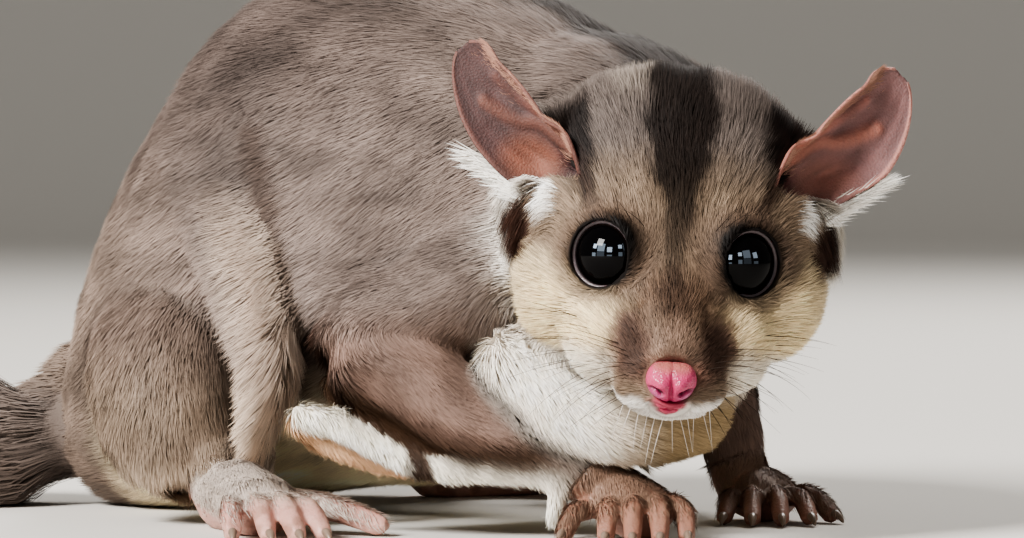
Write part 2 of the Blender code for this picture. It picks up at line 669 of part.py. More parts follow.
def tail_point(path, along, share, angle):
    """A point beside the tail's centre line, at a share of the way out to the hair's tips."""
    at = min(max(along / TAIL_SPACING, 0.0), len(path) - 1.001)
    first = int(at)
    row = path[first] + (path[first + 1] - path[first]) * (at - first)
    way = path[first + 1, :3] - path[first, :3]
    side = np.cross(way, UPRIGHT)
    side /= np.linalg.norm(side)
    drop = row[4] if math.sin(angle) > 0 else row[2] - 0.4
    return row[:3] + share * (row[3] * math.cos(angle) * side + drop * math.sin(angle) * np.array(UPRIGHT))


def tail_lock(path, start, angle, length, half_width):
    """A flat tapered lock that rises from the core and lies back along the tail."""
    rings = []
    for reach, share, wide, thick in ((0.0, 0.22, 0.7, 1.0), (0.38, 0.66, 1.0, 1.0), (0.74, 0.92, 0.62, 0.7)):
        centre = tail_point(path, start + reach * length, share, angle)
        out = centre - tail_point(path, start + reach * length, 0.0, angle)
        out /= np.linalg.norm(out)
        onward = tail_point(path, start + reach * length + 1.0, share, angle) - centre
        across = np.cross(onward, out)
        across *= half_width * wide / np.linalg.norm(across)
        rise = out * TAIL_LOCK_THICK * thick
        rings.append([centre + across, centre + rise, centre - across])
    tip = tail_point(path, start + length, 1.0, angle)
    rings.append([tip] * 3)
    lock = loft("lock", rings)
    bm = bmesh.new()
    bm.from_mesh(lock.data)
    bmesh.ops.remove_doubles(bm, verts=bm.verts, dist=WELD)
    bmesh.ops.recalc_face_normals(bm, faces=bm.faces)
    bm.to_mesh(lock.data)
    bm.free()
    return lock


def tail_cell(path, cut):
    """A funnel that opens along the lie of the hair and holds all of the tail past a cut."""
    rows = []
    for reach, radius in ((0.0, 2.0), (6.0, 6.5), (13.0, 12.0), (22.0, 17.0)):
        rows.append(tuple(tail_point(path, cut + reach, 0.0, 0.0)) + (radius, radius))
    total = TAIL_SPACING * (len(path) - 1)
    for place in np.arange(cut + 32.0, total, 10.0):
        rows.append(tuple(tail_point(path, place, 0.0, 0.0)) + (18.0, 18.0))
    end = tail_point(path, total, 0.0, 0.0)
    rows.append(tuple(end + 6.0 * (end - tail_point(path, total - 2.0, 0.0, 0.0))) + (18.0, 18.0))
    return tube("cell", rows, sides=16, per_span=1)


def tail():
    """A core with locks all round it, in lengths that part where the hair opens."""
    path = even_path(TAIL_PATH, TAIL_SPACING)
    total = TAIL_SPACING * (len(path) - 1)
    rings = []
    for place in np.arange(0.0, total - 10.0, 5.0):
        rings.append([tail_point(path, place, TAIL_CORE, 2 * math.pi * j / 12) for j in range(12)])
    core = loft("tail_base", rings)
    draw = random.Random(5)
    locks = []
    row = 0
    place = 6.0
    while place < total - TAIL_LOCK_STEP:
        size = np.interp(place + 8.0, TAIL_SPACING * np.arange(len(path)), path[:, 3]) / TAIL_PATH[3][3]
        count = max(3, round(TAIL_LOCKS_ROUND * size))
        for j in range(count):
            angle = 2 * math.pi * (j + 0.5 * (row % 2) + 0.25 + draw.uniform(-0.08, 0.08)) / count
            length = min(TAIL_LOCK_LENGTH * draw.uniform(0.88, 1.1), total - 1.0 - place)
            half_width = TAIL_LOCK_HALF_WIDTH * size ** 0.5 * draw.uniform(0.9, 1.1)
            locks.append(tail_lock(path, place + draw.uniform(-1.5, 1.5), angle, length, half_width))
        row += 1
        place += TAIL_LOCK_STEP
    boolean(core, locks, "UNION")
    largest(core)
    nodes = [core]
    for name, cut in (("tail_tip", TAIL_CUTS[1]), ("tail_middle", TAIL_CUTS[0])):
        form = tail_cell(path, cut)
        nodes.append(carve(core, name, lambda grow: swollen(form, grow)))
        discard(form)
    for node in nodes:
        flat_on_floor(node)
    return nodes


def build():
    whole = whole_flesh()
    head = carve_head(whole)
    neck = carve(whole, "neck", neck_cell)
    thigh = THIGH
    limbs = {}
    for name, rows in (("fore_leg_right", FORELIMB[1:]), ("fore_leg_left", LEFT_FORELIMB[1:]),
                       ("hind_leg_right", thigh), ("hind_leg_left", [mirrored(row) for row in thigh])):
        limbs[name] = carve_form(whole, name, rows)
    whole.name = "torso"
    forms = {"hand_right": RIGHT_HAND, "hand_left": LEFT_HAND, "hind_foot_right": RIGHT_FOOT,
             "hind_foot_left": mirrored_paw(RIGHT_FOOT)}
    paws = {name: paw(name, form) for name, form in forms.items()}
    legs = {"hand_right": "fore_leg_right", "hand_left": "fore_leg_left",
            "hind_foot_right": "hind_leg_right", "hind_foot_left": "hind_leg_left"}
    for name, form in forms.items():
        leg = limbs[legs[name]]
        cut = half_space(form["joint"], form["way"], -GAP / 2)
        largest(boolean(leg, [cut], "DIFFERENCE"))
        clear_of(leg, [paws[name]])
    left_folds = [mirrored_rows(FRINGE[:SHARED_ROWS]) + LEFT_FRINGE,
                  mirrored_rows(MEMBRANE[:SHARED_ROWS]) + LEFT_MEMBRANE, mirrored_rows(UNDERFOLD)]
    patagium = [membrane("patagium_right", [FRINGE, MEMBRANE, UNDERFOLD]),
                membrane("patagium_left", left_folds)]
    for edge in patagium:
        clear_of(edge, paws.values())
    for leg in limbs.values():
        clear_of(leg, patagium)
    eyes = [eye("eye_right", -1), eye("eye_left", 1)]
    pad = nose()
    finish_head(head, eyes, pad)
    ears = [ear("ear_right", -1), ear("ear_left", 1)]
    for item in ears:
        clear_of(item, [head])
    clear_of(whole, patagium + list(paws.values()))
    flat_on_floor(whole)
    tails = tail()
    clear_of(tails[0], [whole])
    for node in eyes:
        largest(node)
    return ([head, neck, whole, pad] + eyes + ears + list(limbs.values()) + list(paws.values())
            + patagium + tails)


# What covers a node, by the start of its name: finish, colour and roughness. The rest is coat.
FINISHES = [
    ("ear_", "ear skin", (0.42, 0.20, 0.18), 0.6), ("eye_", "wet eye", (0.004, 0.003, 0.004), 0.08),
    ("hand_", "paw skin", (0.46, 0.25, 0.20), 0.65), ("hind_foot_", "paw skin", (0.46, 0.25, 0.20), 0.65),
    ("nose", "nose skin", (0.66, 0.16, 0.20), 0.4), ("tail_", "tail hair", (0.10, 0.075, 0.06), 0.9),
    ("", "coat", (0.17, 0.125, 0.095), 0.9)]


def finished(node):
    """Give a node its material and smooth shading."""
    start, finish, colour, roughness = next(row for row in FINISHES if node.name.startswith(row[0]))
    material = bpy.data.materials.new(node.name + " " + finish)
    material.use_nodes = True
    shader = material.node_tree.nodes["Principled BSDF"]
    shader.inputs["Base Color"].default_value = colour + (1.0,)
    shader.inputs["Roughness"].default_value = roughness
    shader.inputs["Metallic"].default_value = 0.0
    node.data.materials.clear()
    node.data.materials.append(material)
    node.data.shade_smooth()
    node.data.set_sharp_from_angle(angle=SHARP_ANGLE)


def place_on_floor(nodes):
    """Origin at the middle of the underside, in metres, with the nodes parented to an empty."""
    corners = np.vstack([[v.co[:] for v in node.data.vertices] for node in nodes])
    low, high = corners.min(axis=0), corners.max(axis=0)
    middle = (low + high) / 2
    shift = Matrix.Translation(Vector((-middle[0], -middle[1], -low[2])))
    animal = bpy.data.objects.new("sugar_glider", None)
    bpy.context.scene.collection.objects.link(animal)
    for node in nodes:
        node.data.transform(Matrix.Scale(MM, 4) @ shift)
        centre = sum((v.co for v in node.data.vertices), Vector()) / len(node.data.vertices)
        node.data.transform(Matrix.Translation(-centre))
        node.location = centre
        node.parent = animal
        finished(node)


for start in list(bpy.data.objects):
    discard(start)
place_on_floor(build())
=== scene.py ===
"""Sugar glider: the looks of a still, life-size model that crouches with its head low."""

import math

import bmesh
import bpy
import numpy as np
from mathutils import Matrix, Vector
from mathutils.bvhtree import BVHTree
from mathutils.kdtree import KDTree


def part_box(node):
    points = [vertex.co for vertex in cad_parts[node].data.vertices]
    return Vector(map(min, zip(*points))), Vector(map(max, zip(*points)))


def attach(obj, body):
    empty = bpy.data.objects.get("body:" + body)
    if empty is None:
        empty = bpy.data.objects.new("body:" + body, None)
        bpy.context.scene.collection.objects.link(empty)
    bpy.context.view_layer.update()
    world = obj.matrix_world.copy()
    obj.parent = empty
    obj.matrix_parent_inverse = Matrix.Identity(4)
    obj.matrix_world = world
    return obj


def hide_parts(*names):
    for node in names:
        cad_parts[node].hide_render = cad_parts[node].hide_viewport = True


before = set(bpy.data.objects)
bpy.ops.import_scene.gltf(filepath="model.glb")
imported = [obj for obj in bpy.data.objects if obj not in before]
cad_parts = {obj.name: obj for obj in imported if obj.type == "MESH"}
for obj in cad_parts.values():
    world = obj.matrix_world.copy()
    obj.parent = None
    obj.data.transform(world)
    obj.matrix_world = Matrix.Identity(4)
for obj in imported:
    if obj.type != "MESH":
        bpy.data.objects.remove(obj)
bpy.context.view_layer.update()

# The animal is worked out in millimetres in a frame of its own: x to the right, y away from the
# viewer, z up from the floor. Finished meshes are in metres in the row's frame.
MM = 0.001
EYE_MID = Vector((19.5, 0.0, 34.5))
HEAD_PITCH = math.radians(26.0)
HEAD_YAW = math.radians(1.5)
HEAD_ROLL = math.radians(3.7)
HEAD_TURN = (Matrix.Rotation(HEAD_ROLL, 3, "Y") @ Matrix.Rotation(HEAD_YAW, 3, "Z")
             @ Matrix.Rotation(HEAD_PITCH, 3, "X"))
EYE_PLACE = (7.2, 0.6, 0.1)
EYE_RADIUS = 4.8
EYE_OUTWARD = math.radians(36.0)
EYE_UPWARD = math.radians(22.0)
EYE_OPENING = 3.9
LID_RADIUS = 5.6
SPINE_START = np.array((-16.5, 50.0))
SPINE_TURN = math.radians(-25.75)
UP = np.array((0.0, 0.0, 1.0))

FLESH = ["head", "neck", "torso", "fore_leg_right", "fore_leg_left", "hind_leg_right",
         "hind_leg_left", "patagium_right", "patagium_left"]
PAWS = ["hand_right", "hand_left", "hind_foot_right", "hind_foot_left"]
TAILS = ["tail_base", "tail_middle", "tail_tip"]


def head_point(side, forward, up):
    return EYE_MID + HEAD_TURN @ Vector((side, -forward, up))


def eye_centre(side):
    return head_point(side * EYE_PLACE[0], EYE_PLACE[1], EYE_PLACE[2])


def eye_way(side):
    flat = math.cos(EYE_UPWARD)
    return HEAD_TURN @ Vector((side * math.sin(EYE_OUTWARD) * flat, -math.cos(EYE_OUTWARD) * flat,
                               math.sin(EYE_UPWARD)))


eye_low, eye_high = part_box("eye_right")
SHIFT = (eye_low + eye_high) / 2 / MM - eye_centre(-1)
TO_ROW = Matrix.Scale(MM, 4) @ Matrix.Translation(SHIFT)

# Forms of the body: centres along each, for the lie and the colours of the coat.
FORELIMB = [(5.0, 22.0, 36.0), (-9.0, 18.0, 27.5), (-18.5, 14.5, 23.6), (-12.0, 12.0, 18.8), (-5.0, 11.0, 14.2),
            (2.0, 10.5, 11.2), (8.0, 10.5, 8.6), (12.0, 10.5, 6.8)]
LEFT_FORELIMB = [(17.5, 48.0, 31.0), (21.8, 49.0, 26.5), (25.5, 45.5, 22.0), (27.0, 40.5, 15.0), (28.5, 39.5, 8.0),
                 (29.5, 39.0, 5.0)]
THIGH = [(-43.8, 50.0, 28.0), (-43.2, 40.0, 19.5), (-42.6, 34.0, 14.0), (-39.0, 31.0, 9.0), (-36.0, 28.0, 6.2)]
CHEST_ROLL = [(0.0, 9.0, 21.5), (6.0, 8.0, 16.0), (12.5, 9.0, 13.8), (20.0, 14.0, 16.0)]
CURTAIN = [(-35.0, 38.0, 49.0), (-33.5, 31.5, 40.0), (-31.5, 26.0, 30.0), (-30.0, 21.8, 21.5), (-30.9, 22.5, 14.5),
           (-32.0, 24.5, 8.5)]
FRINGE = [(-26.6, 14.0, 15.2), (-22.4, 12.2, 14.3), (-17.6, 11.4, 12.0), (-14.2, 11.2, 10.2), (-9.6, 10.4, 8.6),
          (-3.5, 9.2, 8.6), (2.6, 8.0, 8.3), (5.4, 7.4, 6.6), (4.9, 7.4, 3.4)]
MEMBRANE = [(-22.8, 17.5, 18.8), (-19.6, 14.0, 17.0), (-15.6, 12.2, 13.7), (-10.6, 11.6, 10.6), (-4.0, 10.4, 9.9),
            (2.0, 9.4, 9.5)]
UNDERFOLD = [(-26.8, 14.6, 14.0), (-24.2, 15.0, 12.2), (-20.6, 14.0, 10.8), (-16.4, 13.0, 9.2), (-12.6, 12.2, 8.4)]
# On the left the first rows are the same, and the fringe then runs forward to the forearm.
SHARED_ROWS = 4
LEFT_FRINGE = [(19.6, 67.6, 9.4), (24.0, 60.5, 9.6), (26.8, 53.5, 10.2), (28.2, 47.5, 11.0), (28.6, 42.5, 11.8)]
LEFT_MEMBRANE = [(22.6, 60.0, 11.6), (25.6, 53.0, 12.2), (27.0, 47.0, 13.0), (27.6, 42.5, 13.6)]
# The fold of loose skin in front of the thigh, as the viewer sees it.
FLANK_FOLD = [(-31.5, 0.0, 49.5), (-31.0, 0.0, 45.0), (-29.5, 0.0, 38.5), (-27.8, 0.0, 28.5), (-26.1, 0.0, 18.1)]
STRIPE = [(-57.0, 67.0, 0.0), (-16.5, 50.0, 0.0), (8.0, 38.5, 0.0), (17.0, 27.0, 0.0), (21.5, 14.0, 0.0)]
# Tail: centres, half-width and half-height out to the tips of the hair.
TAIL_PATH = [
    (-44.0, 64.0, 12.0, 10.5, 11.5), (-56.0, 66.5, 10.0, 11.2, 11.8), (-72.0, 65.5, 8.8, 11.8, 12.0),
    (-95.0, 64.0, 8.4, 12.2, 12.2), (-118.0, 69.5, 8.2, 12.2, 12.0), (-135.0, 83.0, 8.0, 12.0, 11.6),
    (-143.0, 102.0, 7.6, 11.6, 11.2), (-139.5, 120.0, 7.2, 10.8, 10.4), (-127.0, 132.0, 6.8, 9.4, 9.4),
    (-112.0, 137.0, 6.2, 7.2, 7.6), (-98.0, 138.0, 5.4, 3.4, 4.4), (-90.0, 138.0, 5.0, 1.2, 1.6)]
TAIL_CORE = 0.48


def linear(hex_colour):
    """An sRGB hex colour as linear red, green and blue."""
    out = []
    for i in (1, 3, 5):
        c = int(hex_colour[i:i + 2], 16) / 255
        out.append(c / 12.92 if c <= 0.04045 else ((c + 0.055) / 1.055) ** 2.4)
    return np.array(out)


def unit(rows):
    return rows / np.maximum(np.linalg.norm(rows, axis=-1, keepdims=True), 1e-9)


def smooth(low, high, value):
    """0 below one value, 1 above the other, with an eased slope between."""
    t = np.clip((value - low) / (high - low), 0.0, 1.0)
    return t * t * (3 - 2 * t)


def curved(rows, per_span=6):
    """A smooth curve through rows of numbers."""
    given = np.array(rows, float)
    ends = np.vstack([2 * given[0] - given[1], given, 2 * given[-1] - given[-2]])
    out = []
    for i in range(1, len(ends) - 2):
        a, b, c, d = ends[i - 1:i + 3]
        for k in range(per_span):
            t = k / per_span
            out.append(0.5 * (2 * b + (c - a) * t + (2 * a - 5 * b + 4 * c - d) * t * t
                              + (3 * b - a - 3 * c + d) * t ** 3))
    out.append(given[-1])
    return np.array(out)


def mirrored(rows):
    """Rows on the animal's left that answer to rows on its right."""
    c, s = math.cos(SPINE_TURN), math.sin(SPINE_TURN)
    out = []
    for row in rows:
        x, y = row[0] - SPINE_START[0], row[1] - SPINE_START[1]
        along, right = c * x + s * y, -(s * x - c * y)
        out.append((SPINE_START[0] + c * along + s * right, SPINE_START[1] + s * along - c * right)
                   + tuple(row[2:]))
    return out


def folds(name):
    """The fringe, the dark band and the fold under them, on one side of the body."""
    if name.endswith("right"):
        return FRINGE, MEMBRANE, UNDERFOLD
    return (mirrored(FRINGE[:SHARED_ROWS]) + LEFT_FRINGE, mirrored(MEMBRANE[:SHARED_ROWS]) + LEFT_MEMBRANE,
            mirrored(UNDERFOLD))


def noise(points, scale, seed):
    """Smooth noise from -1 to 1 at each point."""
    table = np.random.default_rng(seed).random(4096) * 2 - 1
    place = points / scale
    cell = np.floor(place).astype(np.int64)
    part = place - cell
    part = part * part * (3 - 2 * part)
    total = np.zeros(len(points))
    for dx in (0, 1):
        for dy in (0, 1):
            for dz in (0, 1):
                key = ((cell[:, 0] + dx) * 73856093) ^ ((cell[:, 1] + dy) * 19349663) ^ ((cell[:, 2] + dz) * 83492791)
                share = ((part[:, 0] if dx else 1 - part[:, 0]) * (part[:, 1] if dy else 1 - part[:, 1])
                         * (part[:, 2] if dz else 1 - part[:, 2]))
                total += table[key & 4095] * share
    return total


def nearest_on(points, rows):
    """Distance to a curve, its direction at the nearest place, and how far along that is, 0 to 1."""
    path = curved(rows)[:, :3]
    ways = unit(np.gradient(path, axis=0))
    best = np.full(len(points), 1e9)
    index = np.zeros(len(points), int)
    for i, place in enumerate(path):
        gap = ((points - place) ** 2).sum(1)
        near = gap < best
        best[near] = gap[near]
        index[near] = i
    return np.sqrt(best), ways[index], index / (len(path) - 1)


# Ear leaf: reach from base to tip, half-width, depth of the cup, and the way it is turned.
EARS = curved([(-0.26, 3.8, 2.8, 52), (-0.14, 4.8, 3.2, 52), (0.0, 5.4, 3.4, 48), (0.14, 5.7, 3.2, 38),
               (0.3, 5.7, 2.7, 28), (0.46, 5.5, 2.1, 22), (0.62, 5.0, 1.6, 20), (0.76, 4.2, 1.1, 20),
               (0.88, 3.1, 0.7, 20), (0.96, 2.0, 0.4, 20), (1.0, 1.1, 0.2, 20)])
# Folds inside the ear: millimetres along the leaf and toward its inner edge.
EAR_RIDGE = [(9.2, -2.0, 0.0), (5.7, -0.2, 0.0), (4.0, 1.5, 0.0), (0.6, 2.3, 0.0), (-2.6, 3.0, 0.0)]
EAR_SECOND = [(10.5, 1.2, 0.0), (7.4, 1.8, 0.0), (5.0, 2.6, 0.0)]


def outer_spread(side, reach, inward):
    """The left ear is turned further to the front, so its outer half shows broader."""
    return 1.0 + (0.26 if side > 0 else 0.06) * smooth(0.05, 0.45, reach) * (inward < 0)


def ear_line(side):
    return head_point(side * 16.2, -9.2, 7.0), head_point(side * 26.8, -20.0, 16.8)


def ear_axes(side, reach):
    """Directions at each reach: toward the inner edge, and out of the cup."""
    base, tip = ear_line(side)
    angle = np.radians(np.interp(reach, EARS[:, 0], EARS[:, 3]))
    facing = np.stack([side * np.sin(angle), -np.cos(angle), np.full_like(angle, 0.1)], 1)
    along = np.array(tip - base)
    inward = unit(np.cross(along, facing))
    inward *= -np.sign(inward[:, :1] * side)
    out = unit(np.cross(along, inward))
    out *= np.sign((out * facing).sum(1))[:, None]
    return inward, out


def ear_leaf(side, reach, inward):
    """Places on an ear's leaf; inward runs from -1 at the outer edge to 1 at the inner edge."""
    base, tip = ear_line(side)
    toward, out = ear_axes(side, reach)
    half = np.interp(reach, EARS[:, 0], EARS[:, 1])
    depth = np.interp(reach, EARS[:, 0], EARS[:, 2])
    # The inner edge rolls forward over the middle of the leaf.
    rolled = smooth(-0.05, 0.25, reach) * smooth(1.0, 0.7, reach) * np.clip((inward - 0.35) / 0.65, 0.0, 1.0)
    sheet = np.array(base) + reach[:, None] * np.array(tip - base)
    sheet = sheet + toward * (half * (inward * outer_spread(side, reach, inward) - 0.34 * rolled ** 1.3))[:, None]
    sheet = sheet - out * (depth * (1 - inward ** 2) - 1.1 * rolled ** 2)[:, None]
    return sheet, out


def ear_fur_line(inward):
    """The reach below which fur covers the ear."""
    return np.interp(inward, [-1.0, -0.8, -0.5, 0.0, 0.35, 1.0], [0.3, 0.12, -0.04, -0.17, -0.22, -0.26])


def ear_place(side, points):
    """Reach along an ear, place across it, and height in front of the leaf."""
    base, tip = ear_line(side)
    reach = (points - np.array(base)) @ np.array(tip - base) / (tip - base).length_squared
    toward, out = ear_axes(side, reach)
    half = np.interp(reach, EARS[:, 0], EARS[:, 1])
    depth = np.interp(reach, EARS[:, 0], EARS[:, 2])
    inward = ((points - np.array(base)) * toward).sum(1) / half
    inward = inward / outer_spread(side, reach, inward)
    lift = ((points - np.array(base)) * out).sum(1) + depth * (1 - np.minimum(inward ** 2, 1.0))
    return reach, inward, lift


def in_ear(side, points, margin=0.0):
    """Whether places lie inside the cup of an ear, where no coat grows."""
    reach, inward, lift = ear_place(side, points)
    return ((reach > ear_fur_line(inward) + margin) & (reach < 1.02) & (np.abs(inward) < 0.97)
            & (lift > -0.35) & (lift < 7.0))


# ---------------------------------------------------------------- materials

def new_material(name):
    material = bpy.data.materials.new(name)
    material.use_nodes = True
    tree = material.node_tree
    return material, tree, tree.nodes["Principled BSDF"]


def node(tree, kind, settings=None, links=None):
    """Add a node; settings are attributes or input values, links are inputs fed by sockets."""
    made = tree.nodes.new(kind)
    for key, value in (settings or {}).items():
        if isinstance(key, str) and hasattr(made, key) and key not in made.inputs:
            setattr(made, key, value)
        else:
            made.inputs[key].default_value = value
    for key, source in (links or {}).items():
        tree.links.new(source, made.inputs[key])
    return made


def rgba(hex_colour):
    return tuple(linear(hex_colour)) + (1.0,)


def coat_material():
    """Guard hairs: dry keratin, matt with a faint sheen along the lie."""
    material, tree, shader = new_material("guard hair")
    colour = node(tree, "ShaderNodeAttribute", {"attribute_name": "Coat"})
    tree.links.new(colour.outputs["Color"], shader.inputs["Base Color"])
    shader.inputs["Roughness"].default_value = 0.6
    shader.inputs["Specular IOR Level"].default_value = 0.18
    return material


def skin_material():
    """Skin under the coat: the same markings and painted shade, with fine short hair as bump."""
    material, tree, shader = new_material("haired skin")
    colour = node(tree, "ShaderNodeAttribute", {"attribute_name": "Coat"})
    place = node(tree, "ShaderNodeTexCoord")
    # Under-hair about 0.25 mm across.
    grain = node(tree, "ShaderNodeTexNoise", {"Scale": 4000.0, "Detail": 3.0},
                 {"Vector": place.outputs["Object"]})
    bump = node(tree, "ShaderNodeBump", {"Strength": 0.5, "Distance": 0.0002}, {"Height": grain.outputs["Fac"]})
    tree.links.new(colour.outputs["Color"], shader.inputs["Base Color"])
    tree.links.new(bump.outputs["Normal"], shader.inputs["Normal"])
    shader.inputs["Roughness"].default_value = 0.8
    shader.inputs["Specular IOR Level"].default_value = 0.2
    return material


def bare_skin_material(name, rough, grain_size, strength):
    """Naked skin: soft, slightly moist, with fine creases; its colours are in the attribute."""
    material, tree, shader = new_material(name)
    colour = node(tree, "ShaderNodeAttribute", {"attribute_name": "Coat"})
    place = node(tree, "ShaderNodeTexCoord")
    grain = node(tree, "ShaderNodeTexVoronoi", {"Scale": 1.0 / (grain_size * MM)},
                 {"Vector": place.outputs["Object"]})
    cloud = node(tree, "ShaderNodeTexNoise", {"Scale": 1200.0, "Detail": 3.0},
                 {"Vector": place.outputs["Object"]})
    shade = node(tree, "ShaderNodeMapRange", {"To Min": 0.82, "To Max": 1.14}, {"Value": cloud.outputs["Fac"]})
    tint = node(tree, "ShaderNodeVectorMath", {"operation": "SCALE"},
                {0: colour.outputs["Color"], "Scale": shade.outputs["Result"]})
    bump = node(tree, "ShaderNodeBump", {"Strength": strength, "Distance": 0.0001},
                {"Height": grain.outputs["Distance"]})
    tree.links.new(tint.outputs["Vector"], shader.inputs["Base Color"])
    tree.links.new(bump.outputs["Normal"], shader.inputs["Normal"])
    shader.inputs["Roughness"].default_value = rough
    shader.inputs["Subsurface Weight"].default_value = 0.12
    shader.inputs["Subsurface Radius"].default_value = (0.0012, 0.0004, 0.0003)
    shader.inputs["Subsurface Scale"].default_value = 1.0
    return material


def eye_material():
    """Cornea over a nearly black iris: wet and clear, a brown rim at the edge."""
    material, tree, shader = new_material("wet cornea")
    colour = node(tree, "ShaderNodeAttribute", {"attribute_name": "Coat"})
    tree.links.new(colour.outputs["Color"], shader.inputs["Base Color"])
    shader.inputs["Roughness"].default_value = 0.5
    shader.inputs["Specular IOR Level"].default_value = 0.0
    shader.inputs["Coat Weight"].default_value = 0.4
    shader.inputs["Coat Roughness"].default_value = 0.015
    shader.inputs["Coat IOR"].default_value = 1.34
    return material


def horn_material(name, colour, rough):
    """Claws and whiskers: smooth keratin."""
    material, tree, shader = new_material(name)
    place = node(tree, "ShaderNodeTexCoord")
    cloud = node(tree, "ShaderNodeTexNoise", {"Scale": 900.0}, {"Vector": place.outputs["Object"]})
    ramp = node(tree, "ShaderNodeMix", {"data_type": "RGBA", 6: rgba(colour), 7: tuple(linear(colour) * 0.6) + (1.0,)},
                {0: cloud.outputs["Fac"]})
    tree.links.new(ramp.outputs[2], shader.inputs["Base Color"])
    shader.inputs["Roughness"].default_value = rough
    return material


GUARD_HAIR = coat_material()
HAIRED_SKIN = skin_material()
PAW_SKIN = bare_skin_material("bare paw skin", 0.5, 0.35, 0.5)
EAR_SKIN = bare_skin_material("thin ear skin", 0.72, 0.3, 0.7)
NOSE_SKIN = bare_skin_material("moist nose skin", 0.28, 0.22, 0.7)
LID_SKIN = bare_skin_material("lid skin", 0.35, 0.3, 0.3)
CORNEA = eye_material()
CLAW_HORN = horn_material("claw horn", "#8d7a6c", 0.3)
WHISKER_HORN = horn_material("whisker keratin", "#3b2d27", 0.4)


# ---------------------------------------------------------------- meshes

def place_piece(obj, material, replaced=()):
    obj.data.materials.clear()
    obj.data.materials.append(material)
    for face in obj.data.polygons:
        face.use_smooth = True
    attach(obj, "root")
    if replaced:
        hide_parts(*replaced)
    return obj


def from_bmesh(name, bm):
    """A finished object in the row's frame from a bmesh in millimetres."""
    bmesh.ops.transform(bm, matrix=TO_ROW, verts=bm.verts)
    mesh = bpy.data.meshes.new(name)
    bm.to_mesh(mesh)
    bm.free()
    obj = bpy.data.objects.new(name, mesh)
    bpy.context.scene.collection.objects.link(obj)
    return obj


def paint(obj, colours):
    """Store a colour a vertex."""
    layer = obj.data.color_attributes.new("Coat", "FLOAT_COLOR", "POINT")
    rows = np.ones((len(obj.data.vertices), 4), np.float32)
    rows[:, :3] = colours
    layer.data.foreach_set("color", rows.ravel())


def places(obj):
    """The vertices' places in the animal's own frame, in millimetres."""
    co = np.empty(len(obj.data.vertices) * 3, np.float32)
    obj.data.vertices.foreach_get("co", co)
    return co.reshape(-1, 3).astype(float) / MM - np.array(SHIFT)


def triangles_mesh(name, verts, triangles, uv=None, colours=None, facing=None):
    """A joined mesh of many small things from arrays, in millimetres."""
    mesh = bpy.data.meshes.new(name)
    mesh.vertices.add(len(verts))
    mesh.vertices.foreach_set("co", ((verts + np.array(SHIFT)) * MM).astype(np.float32).ravel())
    mesh.loops.add(len(triangles) * 3)
    mesh.loops.foreach_set("vertex_index", triangles.astype(np.int32).ravel())
    mesh.polygons.add(len(triangles))
    mesh.polygons.foreach_set("loop_start", np.arange(0, len(triangles) * 3, 3, dtype=np.int32))
    mesh.polygons.foreach_set("use_smooth", np.ones(len(triangles), bool))
    mesh.update(calc_edges=True)
    obj = bpy.data.objects.new(name, mesh)
    bpy.context.scene.collection.objects.link(obj)
    if uv is not None:
        layer = mesh.uv_layers.new(name="OFBake")
        layer.data.foreach_set("uv", uv[triangles.ravel()].astype(np.float32).ravel())
    if colours is not None:
        paint(obj, colours)
    if facing is not None:
        mesh.normals_split_custom_set_from_vertices(facing)
    return obj


def sweep(bm, rows, sides=12, up=(0.0, 0.0, 1.0), flatten=1.0):
    """Add a tube with closed ends; each row is a centre and a radius."""
    path = np.array(rows, float)
    ways = unit(np.gradient(path[:, :3], axis=0))
    before = None
    for i, (row, way) in enumerate(zip(path, ways)):
        side = Vector(np.cross(way, up)).normalized()
        top = side.cross(Vector(way)).normalized()
        turn = Matrix((side * row[3], top * row[3] * flatten, Vector(way))).transposed().to_4x4()
        ring = bmesh.ops.create_circle(bm, segments=sides, radius=1.0, cap_ends=i in (0, len(path) - 1),
                                       matrix=Matrix.Translation(Vector(row[:3])) @ turn)
        edges = {e for v in ring["verts"] for e in v.link_edges}
        if before is not None:
            bmesh.ops.bridge_loops(bm, edges=list(before | edges))
        before = edges


def cad_copy(names):
    """The merged surface of CAD nodes, in millimetres in the animal's frame."""
    bm = bmesh.new()
    for name in names:
        bm.from_mesh(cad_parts[name].data)
    bmesh.ops.remove_doubles(bm, verts=bm.verts, dist=2e-6)
    bmesh.ops.transform(bm, matrix=TO_ROW.inverted(), verts=bm.verts)
    return bm


